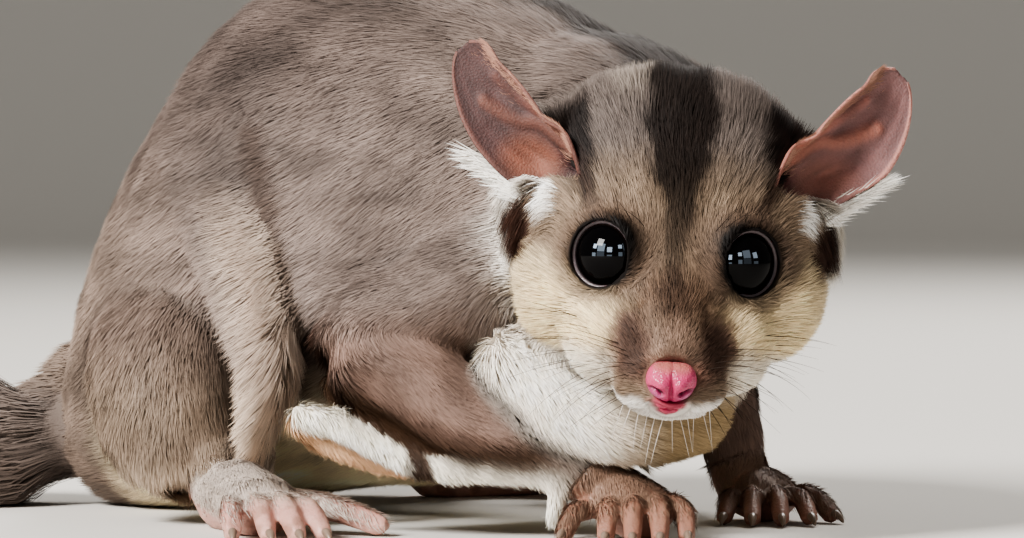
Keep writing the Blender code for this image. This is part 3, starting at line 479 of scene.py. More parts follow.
def remeshed(name, bm, grow, voxel, rounds):
    """One even closed surface over overlapping pieces; returns places, normals, triangles, edges."""
    mesh = bpy.data.meshes.new(name)
    bm.to_mesh(mesh)
    bm.free()
    obj = bpy.data.objects.new(name, mesh)
    bpy.context.scene.collection.objects.link(obj)
    mod = obj.modifiers.new("Grow", "DISPLACE")
    mod.mid_level = 0.0
    mod.strength = grow
    mod = obj.modifiers.new("Remesh", "REMESH")
    mod.mode = "VOXEL"
    mod.voxel_size = voxel
    mod = obj.modifiers.new("Smooth", "SMOOTH")
    mod.factor = 0.5
    mod.iterations = rounds
    graph = bpy.context.evaluated_depsgraph_get()
    graph.update()
    done = bpy.data.meshes.new_from_object(obj.evaluated_get(graph))
    bpy.data.objects.remove(obj)
    count = len(done.vertices)
    verts = np.empty(count * 3, np.float32)
    done.vertices.foreach_get("co", verts)
    normals = np.empty(count * 3, np.float32)
    done.vertex_normals.foreach_get("vector", normals)
    edges = np.empty(len(done.edges) * 2, np.int32)
    done.edges.foreach_get("vertices", edges)
    done.calc_loop_triangles()
    triangles = np.empty(len(done.loop_triangles) * 3, np.int32)
    done.loop_triangles.foreach_get("vertices", triangles)
    bpy.data.meshes.remove(done)
    return (verts.reshape(-1, 3).astype(float), normals.reshape(-1, 3).astype(float),
            triangles.reshape(-1, 3), edges.reshape(-1, 2))


def blurred(values, edges, rounds):
    """Even out numbers over a surface."""
    count = np.bincount(edges.ravel(), minlength=len(values)).clip(1)[:, None]
    for _ in range(rounds):
        total = np.empty_like(values)
        for k in range(values.shape[1]):
            column = values[:, k]
            total[:, k] = (np.bincount(edges[:, 0], column[edges[:, 1]], len(values))
                           + np.bincount(edges[:, 1], column[edges[:, 0]], len(values)))
        values = 0.4 * values + 0.6 * total / count
    return values


# ---------------------------------------------------------------- markings

def blend(base, hex_colour, mask):
    return base + (linear(hex_colour) - base) * np.clip(mask, 0.0, 1.0)[:, None]


def head_frame(points):
    """Side, forward and up in the head's frame, and height as the viewer sees it."""
    turn = np.array(HEAD_TURN)
    local = (points - np.array(EYE_MID)) @ turn
    side, forward, up = local[:, 0], -local[:, 1], local[:, 2]
    seen = up * math.cos(HEAD_PITCH) - forward * math.sin(HEAD_PITCH)
    return side, forward, up, seen


def spot(a, b, centre, radii, tilt=0.0, soft=0.35):
    """An oval patch with a soft edge."""
    c, s = math.cos(math.radians(tilt)), math.sin(math.radians(tilt))
    x, y = a - centre[0], b - centre[1]
    x, y = (x * c + y * s) / radii[0], (y * c - x * s) / radii[1]
    return 1.0 - smooth(1.0 - soft, 1.0 + soft, np.sqrt(x * x + y * y))


def head_colours(points):
    side, forward, up, seen = head_frame(points)
    side = side + 0.6 * noise(points, 2.6, 11) + 0.35 * noise(points, 0.9, 13)
    seen = seen + 0.6 * noise(points, 2.4, 12) + 0.4 * noise(points, 0.9, 14)
    away = np.abs(side)
    front = smooth(-16.0, -10.0, forward)
    colour = np.tile(linear("#82705f"), (len(points), 1))
    colour = blend(colour, "#665d59", smooth(6.0, 14.0, seen) * 0.92)
    colour = blend(colour, "#94897f", spot(side, seen, (-5.6, 21.0), (2.8, 2.6), 0.0, 0.5) * 0.7)
    colour = blend(colour, "#a08d7a", spot(away, seen, (4.9, 2.4), (1.7, 5.4), 0.0, 0.5) * 0.75)
    # Cheeks, jaw and throat.
    colour = blend(colour, "#eed8b0", spot(away, seen, (11.8, -7.0), (6.6, 5.6), -20.0, 0.4) * front)
    colour = blend(colour, "#dcc9a6", spot(away, seen, (17.2, -3.5), (2.4, 4.0), 0.0, 0.5) * front * 0.7)
    colour = blend(colour, "#f1e6d6", smooth(-9.5, -13.0, seen) * smooth(6.0, 9.0, away))
    colour = blend(colour, "#f8f1e7", smooth(-11.0, -15.0, up) * smooth(19.0, 14.0, forward))
    # Muzzle: a brown mask from the inner corner of each eye to the pads, and a barer, pinkish bridge.
    colour = blend(colour, "#5c4636", spot(away, seen, (4.4, -4.8), (2.3, 6.2), 4.0, 0.5) * front * 0.7)
    colour = blend(colour, "#6c5448", spot(away, seen, (4.8, -10.9), (2.6, 3.8), 0.0, 0.4))
    colour = blend(colour, "#2f1f19", spot(away, seen, (4.9, -10.8), (1.5, 3.4), 6.0, 0.5) * 0.7)
    colour = blend(colour, "#6b5445", spot(away, seen, (0.0, -5.5), (4.0, 3.8), 0.0, 0.5) * 0.7)
    colour = blend(colour, "#46342a", spot(away, seen, (0.0, -5.0), (1.9, 3.6), 0.0, 0.5) * 0.75)
    colour = blend(colour, "#8a7263", spot(away, seen, (0.0, -10.8), (2.6, 3.4), 0.0, 0.4))
    colour = blend(colour, "#9a7062", spot(away, seen, (0.0, -13.8), (3.5, 1.9), 0.0, 0.3) * 0.8)
    colour = blend(colour, "#f6f0e9", smooth(-16.0, -17.0, seen) * smooth(7.0, 12.0, forward))
    colour = blend(colour, "#a8485a", spot(side, seen, (-0.2, -16.9), (2.0, 1.7), 0.0, 0.25) * smooth(13.0, 15.0, forward))
    # Dark bands: along the crown, inside each ear, round the eyes and behind the cheeks.
    width = np.interp(seen, [-6.0, 0.0, 6.0, 9.0, 12.0, 18.0, 24.0], [0.5, 1.3, 1.8, 2.8, 3.7, 4.1, 3.9])
    stripe = smooth(width + 1.0, width - 0.8, away) * smooth(-7.0, 1.5, seen)
    colour = blend(colour, "#150b07", stripe * (0.94 - 0.25 * smooth(8.0, 0.0, seen)))
    colour = blend(colour, "#140905", spot(away, seen, (12.8, 14.6), (2.9, 6.8), -12.0, 0.3)
                   * smooth(-20.0, -13.0, forward))
    colour = blend(colour, "#281811", spot(away, seen, (10.6, 7.4), (1.1, 4.4), -14.0, 0.4) * front * 0.85)
    white = smooth(-8.5, -11.5, forward) * smooth(8.0, 4.0, up) * smooth(-13.0, -9.0, up) * smooth(15.0, 17.0, away)
    colour = blend(colour, "#faf4ea", np.maximum(white, spot(away, seen, (22.2, 7.4), (2.6, 9.5), -16.0, 0.3)))
    colour = blend(colour, "#faf4ea", spot(away, seen, (19.6, 8.6), (3.0, 2.4), 35.0, 0.3) * smooth(-15.0, -10.0, forward))
    colour = blend(colour, "#38231a", spot(away, seen, (18.5, 2.0), (2.1, 4.1), -12.0, 0.25))
    colour = blend(colour, "#f8f4ef", spot(away, seen, (15.9, 6.9), (1.15, 2.9), -8.0, 0.3))
    for hand in (-1, 1):
        centre, way = np.array(eye_centre(hand)), np.array(eye_way(hand))
        shifted = centre + np.array(HEAD_TURN @ Vector((-0.3 * hand, 0.0, 0.3)))
        depth = (points - shifted) @ way
        from_axis = np.linalg.norm(points - shifted - depth[:, None] * way, axis=1)
        on_lid = smooth(0.0, 2.0, depth)
        colour = blend(colour, "#6f5d50", smooth(7.8, 5.6, from_axis) * smooth(-3.5, -0.5, depth) * 0.75)
        # The dark ring is drawn wider round the left eye, as painted shadow on that side.
        colour = blend(colour, "#2b1c15", smooth(5.7 if hand < 0 else 6.6, 4.5, from_axis) * on_lid * 0.65)
        colour = blend(colour, "#0e0806", smooth(4.8, 4.3, from_axis) * on_lid)
    return colour


def body_colours(points, normals):
    along = np.array((math.cos(SPINE_TURN), math.sin(SPINE_TURN), 0.0))
    colour = np.tile(linear("#81736c"), (len(points), 1))
    far = (points - np.array((*SPINE_START, 0.0))) @ along
    rump = smooth(0.0, -45.0, far)
    colour = blend(colour, "#857467", rump * 0.7)
    # Painted shade: the upper back darkens toward the rump.
    colour = blend(colour, "#5b4f4a", smooth(30.0, 54.0, points[:, 2]) * smooth(25.0, -10.0, far) * 0.85)
    low = smooth(22.0, 9.0, points[:, 2]) * smooth(0.35, -0.15, normals[:, 2]) * smooth(-36.0, -26.0, far)
    colour = blend(colour, "#f6e6c4", low)
    flat = points * np.array((1.0, 1.0, 0.0))
    gap = nearest_on(flat, STRIPE)[0] + 0.9 * noise(points, 5.0, 21)
    stripe = smooth(6.5, 3.2, gap) * smooth(0.1, 0.6, normals[:, 2]) * smooth(30.0, 44.0, points[:, 2])
    colour = blend(colour, "#1f140f", stripe * (0.92 - 0.25 * rump))
    # Light dapples where the coat parts, drawn out along the lie.
    drawn = points - 0.55 * (points @ along)[:, None] * along
    dapple = noise(drawn, 4.2, 22) + 0.8 * noise(drawn, 1.9, 23) + 0.5 * noise(points, 9.0, 24)
    return colour * (1.0 + 0.34 * np.clip(dapple, -1.2, 1.2))[:, None]


def part_colours(name, points, normals):
    """The coat's colour on one part of the body."""
    if name == "head":
        return head_colours(points)
    if name in ("neck", "torso"):
        torso = body_colours(points, normals)
        throat = smooth(26.0, 20.0, points[:, 2]) * smooth(26.0, 18.0, points[:, 1]) * smooth(-2.0, 4.0, points[:, 0])
        if name == "neck":
            # The face's markings run on over the front of the neck.
            near = smooth(-25.0, -17.0, head_frame(points)[1])[:, None]
            return blend(torso + (head_colours(points) - torso) * near, "#f5efe6", throat)
        chest = np.maximum(smooth(7.5, 5.8, nearest_on(points, CHEST_ROLL)[0]) * smooth(25.5, 23.0, points[:, 2]), throat)
        # Painted shade under the chin: the lower right of the chest roll is dulled to cream-brown.
        shaded = smooth(8.0, 20.0, points[:, 0]) * smooth(22.0, 15.0, points[:, 2])
        torso = blend(blend(torso, "#fff6ea", chest), "#a48e6c", chest * shaded)
        torso = blend(torso, "#c6b3a4", smooth(6.0, 2.5, nearest_on(points, CURTAIN)[0])
                      * smooth(44.0, 32.0, points[:, 2]) * 0.9)
        # Painted shade along the crease of the fold in front of the thigh, on its front-facing side.
        fold = nearest_on(points * np.array((1.0, 0.0, 1.0)), FLANK_FOLD)[0] + 0.4 * noise(points, 2.5, 34)
        torso = blend(torso, "#493a32", smooth(2.3, 0.6, fold) * smooth(0.1, -0.3, normals[:, 1]) * 0.8)
        # The flank darkens to brown where the membrane leaves it: partly the membrane's own brown, partly painted
        # shadow under the arm and the fold.
        return blend(torso, "#3d2a1c", smooth(5.6, 3.2, nearest_on(points, MEMBRANE)[0]) * 0.9)
    if name.startswith("fore_leg"):
        arm = np.tile(linear("#7f695f"), (len(points), 1))
        arm = blend(arm, "#81736c", smooth(22.0, 30.0, points[:, 2]))
        # Painted shade on the underside of the forearm.
        arm = blend(arm, "#4d382c", smooth(0.1, -0.6, normals[:, 2]) * 0.7)
        arm = arm * (1 + 0.2 * noise(points, 3.6, 25) + 0.14 * noise(points, 1.6, 26))[:, None]
        # Brown where the membrane leaves the arm: partly its own colour, partly painted shadow under the fold.
        return blend(arm, "#3d2a1c", smooth(5.6, 3.2, nearest_on(points, MEMBRANE)[0]) * 0.9)
    if name.startswith("hind_leg"):
        thigh = np.tile(linear("#8c7b6c"), (len(points), 1))
        thigh = blend(thigh, "#837268", smooth(14.0, 26.0, points[:, 2]))
        thigh = blend(thigh, "#b9a794", smooth(10.0, 6.0, points[:, 2]) * 0.7)
        return thigh * (1 + 0.12 * noise(points, 4.0, 27) + 0.08 * noise(points, 1.7, 28))[:, None]
    if name.startswith("patagium"):
        fringe, dark, under = (nearest_on(points, rows)[0] for rows in folds(name))
        dark = dark - 0.3
        fold = blend(np.tile(linear("#fff8ea"), (len(points), 1)), "#3d2a1c", smooth(-0.3, 0.5, fringe - dark))
        fold = blend(fold, "#dbb491", smooth(-0.2, 0.5, np.minimum(fringe, dark) - under))
        # Dark hair parts the fringe in two.
        gap = (points[:, 0] + 11.3) if name.endswith("right") else np.full(len(points), 9.0)
        fold = blend(fold, "#3a2a1f", smooth(2.1, 1.0, np.abs(gap + 0.8 * noise(points, 1.5, 33))))
        return fold * (1 + 0.1 * noise(points, 1.5, 30))[:, None]
    tail = blend(np.tile(linear("#7b6e67"), (len(points), 1)), "#2a201b",
                 smooth(0.35, 0.75, nearest_on(points, TAIL_PATH)[2]))
    return tail * (1 + 0.2 * noise(points, 4.0, 29))[:, None]


def markings_and_painted_shade(points, normals, share):
    """Coat colour at each place, with painted shade; share holds the weight of each part of the body."""
    total = np.zeros((len(points), 3))
    for k, name in enumerate(PARTS):
        rows = np.flatnonzero(share[:, k] > 0.001)
        if len(rows):
            total[rows] += part_colours(name, points[rows], normals[rows]) * share[rows, k:k + 1]
    # Painted shade in the creases between the limbs and the trunk.
    total = total * (1 - 0.55 * crease(points, share))[:, None]
    return total * (1.0 + 0.12 * noise(points, 1.1, 31) + 0.1 * noise(points, 3.0, 32))[:, None]


# ---------------------------------------------------------------- the skin

PARTS = FLESH + ["tail"]
DEPTH = {"head": 1.2, "neck": 2.0, "torso": 2.1, "fore_leg_right": 0.95, "fore_leg_left": 0.95,
         "hind_leg_right": 1.6, "hind_leg_left": 1.6, "patagium_right": 0.6, "patagium_left": 0.6, "tail": 0.0}
HAIR_LENGTH = {"head": 3.6, "neck": 4.7, "torso": 4.6, "fore_leg_right": 3.3, "fore_leg_left": 3.3,
               "hind_leg_right": 4.4, "hind_leg_left": 4.4, "patagium_right": 2.4, "patagium_left": 2.4,
               "tail": 15.0}
HAIR_WIDTH = {"head": 0.12, "neck": 0.15, "torso": 0.15, "fore_leg_right": 0.14, "fore_leg_left": 0.14,
              "hind_leg_right": 0.16, "hind_leg_left": 0.16, "patagium_right": 0.12, "patagium_left": 0.12,
              "tail": 0.24}
# Tufts a square millimetre.
HAIR_COUNT = {"head": 40.0, "neck": 23.0, "torso": 24.0, "fore_leg_right": 30.0, "fore_leg_left": 22.0,
              "hind_leg_right": 22.0, "hind_leg_left": 19.0, "patagium_right": 34.0, "patagium_left": 22.0,
              "tail": 13.0}
NOSE_TIP = np.array(head_point(0.0, 19.5, -7.5))


def part_values(share, table):
    return share @ np.array([table[name] for name in PARTS])


def crease(points, share):
    """1 along the line where a limb leaves the trunk low down, 0 away from it."""
    limbs = share[:, 3:7].sum(1)
    low = np.maximum(smooth(27.0, 20.0, points[:, 2]), share[:, 5] + share[:, 6])
    return np.clip(4.0 * limbs * (share[:, 1] + share[:, 2]), 0.0, 1.0) * low


def coat_depth(points, share):
    """How far the skin lies under the tips of the coat."""
    depth = part_values(share, DEPTH) + 0.9 * crease(points, share)
    depth = depth * (1 - 0.45 * smooth(8.5, 6.5, nearest_on(points, CHEST_ROLL)[0]))
    head = share[:, 0]
    thin = smooth(7.0, 26.0, np.linalg.norm(points - NOSE_TIP, axis=1))
    depth = depth * (1 - head * (1 - (0.22 + 0.78 * thin)))
    for side in (-1, 1):
        near = np.linalg.norm(points - np.array(eye_centre(side)), axis=1)
        depth = depth * (1 - head * 0.75 * smooth(9.0, 6.4, near))
    return depth


def part_lie(name, points):
    """The way the hair points over one part of the body."""
    back = -np.array((math.cos(SPINE_TURN), math.sin(SPINE_TURN), 0.0))
    if name == "head":
        side, forward, up, seen = head_frame(points)
        face = unit(points - NOSE_TIP) + 0.5 * np.array(HEAD_TURN @ Vector((0.0, 1.0, 0.0)))
        face = unit(face - UP * (smooth(4.0, 14.0, np.abs(side)) * smooth(8.0, -6.0, up) * 0.4)[:, None])
        # Below each ear it fans out and down.
        fan = np.sign(side)[:, None] * np.array((0.55, 0.0, 0.0)) - UP * 0.85
        below = spot(np.abs(side), seen, (16.4, 6.5), (3.6, 5.5), 0.0, 0.4)[:, None]
        return unit(face * (1 - below) + fan * below)
    if name in ("neck", "torso"):
        right = np.array((math.sin(SPINE_TURN), -math.cos(SPINE_TURN), 0.0))
        fall = np.clip(np.abs((points - np.array((*SPINE_START, 0.0))) @ right) / 26.0, 0.0, 1.0)[:, None] * 0.9
        body = unit(back - UP * fall)
        roll, along_roll = nearest_on(points, CHEST_ROLL)[:2]
        near = smooth(10.0, 6.5, roll)[:, None] if name == "torso" else 0.0
        return unit(body * (1 - near) + (along_roll - UP * 0.5) * near)
    if name == "fore_leg_right":
        return unit(nearest_on(points, FORELIMB)[1] - UP * 0.15)
    if name == "fore_leg_left":
        return nearest_on(points, LEFT_FORELIMB)[1]
    if name.startswith("hind_leg"):
        thigh = mirrored(THIGH) if name.endswith("left") else THIGH
        return unit(nearest_on(points, thigh)[1] * 0.6 + back * 0.35 - UP * 0.5)
    if name.startswith("patagium"):
        return unit(nearest_on(points, folds(name)[0])[1] * 0.7 - UP * 0.8)
    return nearest_on(points, TAIL_PATH)[1]


def lie_of_coat(points, share):
    """The way the hair points at each place."""
    total = np.zeros((len(points), 3))
    for k, name in enumerate(PARTS):
        rows = np.flatnonzero(share[:, k] > 0.001)
        if len(rows):
            total[rows] += part_lie(name, points[rows]) * share[rows, k:k + 1]
    return unit(total)


def creased(verts, normals):
    """Grooves beside the snout and along the mouth."""
    side, forward, up, seen = head_frame(verts)
    groove = np.zeros(len(verts))
    for hand in (-1, 1):
        for line, depth, width in (
                ([(3.3, 18.5, -5.0), (3.9, 16.5, -4.4), (4.1, 13.5, -3.6), (3.6, 10.0, -2.4)], 1.0, 1.2),
                ([(0.4, 19.0, -10.6), (2.4, 18.0, -11.6), (5.4, 14.0, -12.4), (8.2, 8.6, -11.8)], 0.7, 0.8)):
            path = [tuple(head_point(hand * s, f, u)) for s, f, u in line]
            groove = np.maximum(groove, depth * np.exp(-(nearest_on(verts, path)[0] / width) ** 2))
    return verts - normals * groove[:, None]


def hollowed(verts):
    """Lay the skin back behind each ear's leaf, so that the ear stands open."""
    for side in (-1, 1):
        reach, inward, lift = ear_place(side, verts)
        inside = (smooth(-0.07, 0.02, reach - ear_fur_line(inward)) * smooth(1.08, 0.9, np.abs(inward))
                  * smooth(1.05, 0.95, reach) * smooth(9.0, 7.0, lift) * (lift > -0.8))
        out = ear_axes(side, reach)[1]
        verts = verts - out * (inside * (lift + 0.8))[:, None]
    return verts


def build_skin():
    bm = cad_copy(FLESH)
    rows = curved(TAIL_PATH, 4)
    core = [(r[0], r[1], r[2], r[3] * TAIL_CORE) for r in rows[:-5]]
    sweep(bm, core, sides=16)
    verts, normals, triangles, edges = remeshed("skin", bm, 0.2, 0.71, 8)
    source_verts, source_faces, owner = [], [], []
    for k, name in enumerate(FLESH):
        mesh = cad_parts[name].data
        start = len(source_verts)
        source_verts += [TO_ROW.inverted() @ v.co for v in mesh.vertices]
        source_faces += [[start + i for i in face.vertices] for face in mesh.polygons]
        owner += [k] * len(mesh.polygons)
    tree = BVHTree.FromPolygons(source_verts, source_faces)
    share = np.zeros((len(verts), len(PARTS)))
    in_tail = nearest_on(verts, [row[:3] for row in TAIL_PATH])
    for i, place in enumerate(verts):
        share[i, owner[tree.find_nearest(Vector(place))[2]]] = 1.0
    tail = (in_tail[0] < 7.5) & (in_tail[2] > 0.06)
    share[tail] = 0.0
    share[tail, -1] = 1.0
    share = blurred(share, edges, 10)
    depth = blurred(coat_depth(verts, share)[:, None], edges, 6)
    verts = verts - normals * depth
    verts = hollowed(creased(verts, normals))
    verts[:, 2] = np.maximum(verts[:, 2], 0.3)
    flow = lie_of_coat(verts, share)
    flow = unit(blurred(flow, edges, 12))
    colours = markings_and_painted_shade(verts, normals, share)
    skin = triangles_mesh("skin", verts, triangles, colours=colours * 0.8)
    place_piece(skin, HAIRED_SKIN, FLESH + TAILS)
    return verts, normals, triangles, share, depth[:, 0], flow


# ---------------------------------------------------------------- the coat

def box_unwrap(points, normals):
    """Six flat views of the skin's own shape, side by side, for the roots of the tufts."""
    low, high = points.min(0), points.max(0)
    part = (points - low) / np.maximum(high - low, 1e-6)
    axis = np.abs(normals).argmax(1)
    rows = np.arange(len(points))
    ahead = normals[rows, axis] > 0
    a = part[rows, (axis + 1) % 3]
    b = part[rows, (axis + 2) % 3]
    return np.stack([(axis + 0.03 + 0.93 * a) / 3, (ahead + 0.03 + 0.93 * b) / 2], 1)


def tufts(name, roots, normals, flow, length, height, width, colour, seed, clump=2.2, gather=0.5,
          pale=1.15, floor=0.3, vary=1.0):
    """A joined mesh of flat tapered tufts that rise from the skin and lie back along the flow."""
    draw = np.random.default_rng(seed)
    count = len(roots)
    ahead = unit(flow - normals * (flow * normals).sum(1)[:, None])
    across = np.cross(ahead, normals)
    swing = (0.2 * noise(roots, 7.0, seed + 1) + 0.15 * noise(roots, 2.4, seed + 2)
             + draw.normal(0.0, 0.1, count))[:, None]
    ahead = unit(ahead + across * swing)
    across = np.cross(ahead, normals)
    roll = draw.normal(0.0, 0.22, count)[:, None]
    across = across * np.cos(roll) + normals * np.sin(roll)
    length = (length * draw.uniform(0.75, 1.2, count))[:, None]
    height = height * draw.uniform(1.15 - 0.55 * vary, 1.15, count) * (1 + 0.25 * vary * noise(roots, 3.0, seed + 3))
    height = (height * (0.8 + 0.2 * vary))[:, None]
    half = (width * draw.uniform(0.7, 1.25, count) / 2)[:, None]
    tip = roots + ahead * length + normals * height
    clump_shade = np.ones(count)
    if gather:
        centres = roots[draw.permutation(count)[:max(8, int(count / (20.0 * clump * clump)))]]
        tree = KDTree(len(centres))
        for i, place in enumerate(centres):
            tree.insert(place, i)
        tree.balance()
        owner = np.array([tree.find(place)[1] for place in roots])
        totals = np.stack([np.bincount(owner, tip[:, k], len(centres)) for k in range(3)], 1)
        mean_tip = totals / np.bincount(owner, minlength=len(centres)).clip(1)[:, None]
        tip += (mean_tip[owner] - tip) * gather * draw.uniform(0.4, 1.0, count)[:, None]
        clump_shade = draw.uniform(0.8, 1.2, len(centres))[owner]
    middle = roots + (tip - roots) * 0.4 + normals * height * 0.3
    root = roots - normals * 0.25
    verts = np.stack([root, middle - across * half, middle + across * half, tip], 1).reshape(-1, 3)
    verts[:, 2] = np.maximum(verts[:, 2], floor)
    start = np.arange(count)[:, None] * 4
    triangles = np.concatenate([start + [0, 2, 1], start + [1, 2, 3]], 1).reshape(-1, 3)
    # Pale fur is more even than dark fur.
    even = 0.45 * smooth(0.35, 0.8, colour.mean(1))
    shade = (1.0 + (clump_shade * draw.uniform(0.7, 1.3, count) - 1.0) * (1.0 - even) * vary)[:, None]
    tone = np.stack([colour * (0.85 - 0.3 * vary), colour * 0.92, colour * 0.92, colour * pale + 0.004], 1)
    tone = np.clip(tone * shade[:, None], 0.0, 1.0).reshape(-1, 3)
    corner = np.array([(0.5, 0), (0, 0.4), (1, 0.4), (0.5, 1)]) * 0.003
    uv = (box_unwrap(roots, normals)[:, None] + corner[None]).reshape(-1, 2)
    # The hairs take the light much as the body under them does, which gives the coat its bloom.
    own = unit(np.cross(across, tip - roots))
    own *= np.where((own * normals).sum(1) < 0, -1.0, 1.0)[:, None]
    facing = np.repeat(unit(normals * 0.65 + own * 0.35), 4, axis=0)
    obj = triangles_mesh(name, verts, triangles, uv, tone, facing)
    return place_piece(obj, GUARD_HAIR)


def scatter(triangles, verts, weight, total_scale, seed):
    """Random places on a surface, more where the weight is high."""
    draw = np.random.default_rng(seed)
    a, b, c = verts[triangles[:, 0]], verts[triangles[:, 1]], verts[triangles[:, 2]]
    area = np.linalg.norm(np.cross(b - a, c - a), axis=1) / 2
    wanted = area * weight[triangles].mean(1) * total_scale
    count = np.floor(wanted + draw.random(len(wanted))).astype(int)
    face = np.repeat(np.arange(len(triangles)), count)
    u, v = draw.random(len(face)), draw.random(len(face))
    flip = u + v > 1
    u[flip], v[flip] = 1 - u[flip], 1 - v[flip]
    mix = np.stack([1 - u - v, u, v], 1)
    corners = triangles[face]
    return corners, mix


def at(values, corners, mix):
    if values.ndim == 1:
        return (values[corners] * mix).sum(1)
    return (values[corners] * mix[:, :, None]).sum(1)


def around_eyes(roots, lie):
    """Turn the lie aside where it would cross an eye."""
    for side in (-1, 1):
        centre, way = np.array(eye_centre(side)), np.array(eye_way(side))
        reach = roots - centre
        out = unit(reach - (reach @ way)[:, None] * way)
        tangent = np.cross(way, out)
        tangent *= np.where((tangent * lie).sum(1) < 0, -1.0, 1.0)[:, None]
        inward = np.clip(-(lie * out).sum(1) + 0.35, 0.0, 1.0)
        near = (smooth(8.8, 5.2, np.linalg.norm(reach, axis=1)) * inward)[:, None]
        lie = unit(lie * (1 - near) + (tangent * 0.75 + out * 0.65) * near)
    return lie


def build_coat(verts, normals, triangles, share, depth, flow):
    weight = part_values(share, HAIR_COUNT)
    scale = 1.0
    corners, mix = scatter(triangles, verts, weight, scale, 41)
    roots = at(verts, corners, mix)
    out = unit(at(normals, corners, mix))
    shares = at(share, corners, mix)
    # No hair grows on the eyes, the nose, the lips or inside the ears.
    keep = np.ones(len(roots), bool)
    for side in (-1, 1):
        centre, way = np.array(eye_centre(side)), np.array(eye_way(side))
        reach = roots - centre
        lift = reach @ way
        keep &= ~((np.linalg.norm(reach - lift[:, None] * way, axis=1) < EYE_OPENING + 0.25) & (lift > -2.0))
        keep &= np.linalg.norm(reach, axis=1) > EYE_RADIUS + 0.15
        keep &= ~in_ear(side, roots)
    for bare, radii in (((-0.2, 17.7, -7.3), (3.2, 3.4, 2.5)), ((-0.1, 17.6, -10.3), (2.4, 3.6, 2.0))):
        reach = (roots - np.array(head_point(*bare))) @ np.array(HEAD_TURN)
        keep &= np.linalg.norm(reach / radii, axis=1) > 1.0
    corners, mix, roots, out, shares = corners[keep], mix[keep], roots[keep], out[keep], shares[keep]
    deep = at(depth, corners, mix)
    lie = around_eyes(roots, unit(at(flow, corners, mix)))
    length = part_values(shares, HAIR_LENGTH)
    width = part_values(shares, HAIR_WIDTH)
    head = shares[:, 0]
    near_nose = smooth(5.0, 24.0, np.linalg.norm(roots - NOSE_TIP, axis=1))
    length = length * (1 - head * (1 - (0.3 + 0.7 * near_nose)))
    width = width * (1 - head * (1 - (0.65 + 0.35 * near_nose)))
    length = length * (1 - 0.4 * crease(roots, shares)) * (1 - 0.35 * smooth(9.0, 6.5, nearest_on(roots, CHEST_ROLL)[0]))
    for hand in (-1, 1):
        near_eye = np.linalg.norm(roots - np.array(eye_centre(hand)), axis=1)
        length = length * (1 - 0.55 * smooth(8.5, 5.5, near_eye))
    side, forward, up, seen = head_frame(roots)
    ruff = (head + shares[:, 1]) * smooth(-27.0, -22.0, forward) * smooth(-5.0, -9.0, forward) * smooth(12.0, 15.0, np.abs(side)) * smooth(4.0, 0.0, up)
    nape = head * smooth(-4.0, -11.0, forward) * smooth(13.0, 9.0, np.abs(side)) * smooth(3.0, 8.0, up)
    length = length * (1 + 0.7 * ruff + 0.35 * nape)
    # The markings and painted shade are read under the outer half of each tuft, which is the half that shows.
    colour = markings_and_painted_shade(roots + lie * (length * 0.55)[:, None] + out * (deep * 0.5)[:, None], out, shares)
    # Hair whose tip would lie across an eye or an ear is left out.
    clear = np.ones(len(roots), bool)
    tips = roots + lie * length[:, None] + out * (deep * 0.8)[:, None]
    middles = (roots + tips) / 2 + out * 0.3
    for hand in (-1, 1):
        centre, way = np.array(eye_centre(hand)), np.array(eye_way(hand))
        reach = tips - centre
        lift = reach @ way
        clear &= ~((np.linalg.norm(reach - lift[:, None] * way, axis=1) < EYE_OPENING - 0.1) & (lift > 0.0))
        clear &= ~((in_ear(hand, tips, 0.02) | in_ear(hand, middles)) & (head > 0.3))
    roots, out, shares, deep, lie, colour = roots[clear], out[clear], shares[clear], deep[clear], lie[clear], colour[clear]
    length, width, forward = length[clear], width[clear], forward[clear]
    loose = (ruff * 1.5 + nape * 1.0)[clear]
    tail_share = shares[:, -1]
    along_tail = nearest_on(roots, TAIL_PATH)[2]
    envelope = np.interp(along_tail, np.linspace(0, 1, len(TAIL_PATH)), [row[3] for row in TAIL_PATH])
    height = (deep + 0.15 + loose) * (1 - tail_share) + tail_share * envelope * (1 - TAIL_CORE) * 0.95
    length = length * (1 - tail_share) + tail_share * length * np.clip(envelope / 12.0, 0.3, 1.0)
    part = shares.argmax(1)
    right = (roots[:, :2] - SPINE_START) @ np.array((math.sin(SPINE_TURN), -math.cos(SPINE_TURN))) > 0
    along = (roots[:, :2] - SPINE_START) @ np.array((math.cos(SPINE_TURN), math.sin(SPINE_TURN)))
    torso = (part == 2) | (part == 1)
    groups = {
        "coat_face": (part == 0) & (forward > -7.0), "coat_head_back": (part == 0) & (forward <= -7.0),
        "coat_shoulder_right": torso & right & (along > 12.0), "coat_flank_right": torso & right & (along <= 12.0) & (along > -14.0),
        "coat_rump_right": torso & right & (along <= -14.0), "coat_shoulder_left": torso & ~right & (along > 12.0),
        "coat_flank_left": torso & ~right & (along <= 12.0) & (along > -14.0), "coat_rump_left": torso & ~right & (along <= -14.0),
        "coat_limbs_right": np.isin(part, (3, 5, 7)), "coat_limbs_left": np.isin(part, (4, 6, 8)),
        "coat_tail_base": (part == 9) & (along_tail < 0.45), "coat_tail_tip": (part == 9) & (along_tail >= 0.45)}
    for number, (name, chosen) in enumerate(groups.items()):
        on_head = name in ("coat_face", "coat_head_back")
        on_tail = name.startswith("coat_tail")
        tufts(name, roots[chosen], out[chosen], lie[chosen], length[chosen], height[chosen], width[chosen],
              colour[chosen], 50 + 7 * number, clump=0.55 if on_head else 1.2 if on_tail else 0.7,
              gather=0.3 if on_head else 0.15 if name.startswith("coat_limbs") else 0.25,
              vary=1.0 if on_head else 0.8 if on_tail else 0.35 if name.startswith("coat_limbs") else 0.5)


# ---------------------------------------------------------------- head pieces

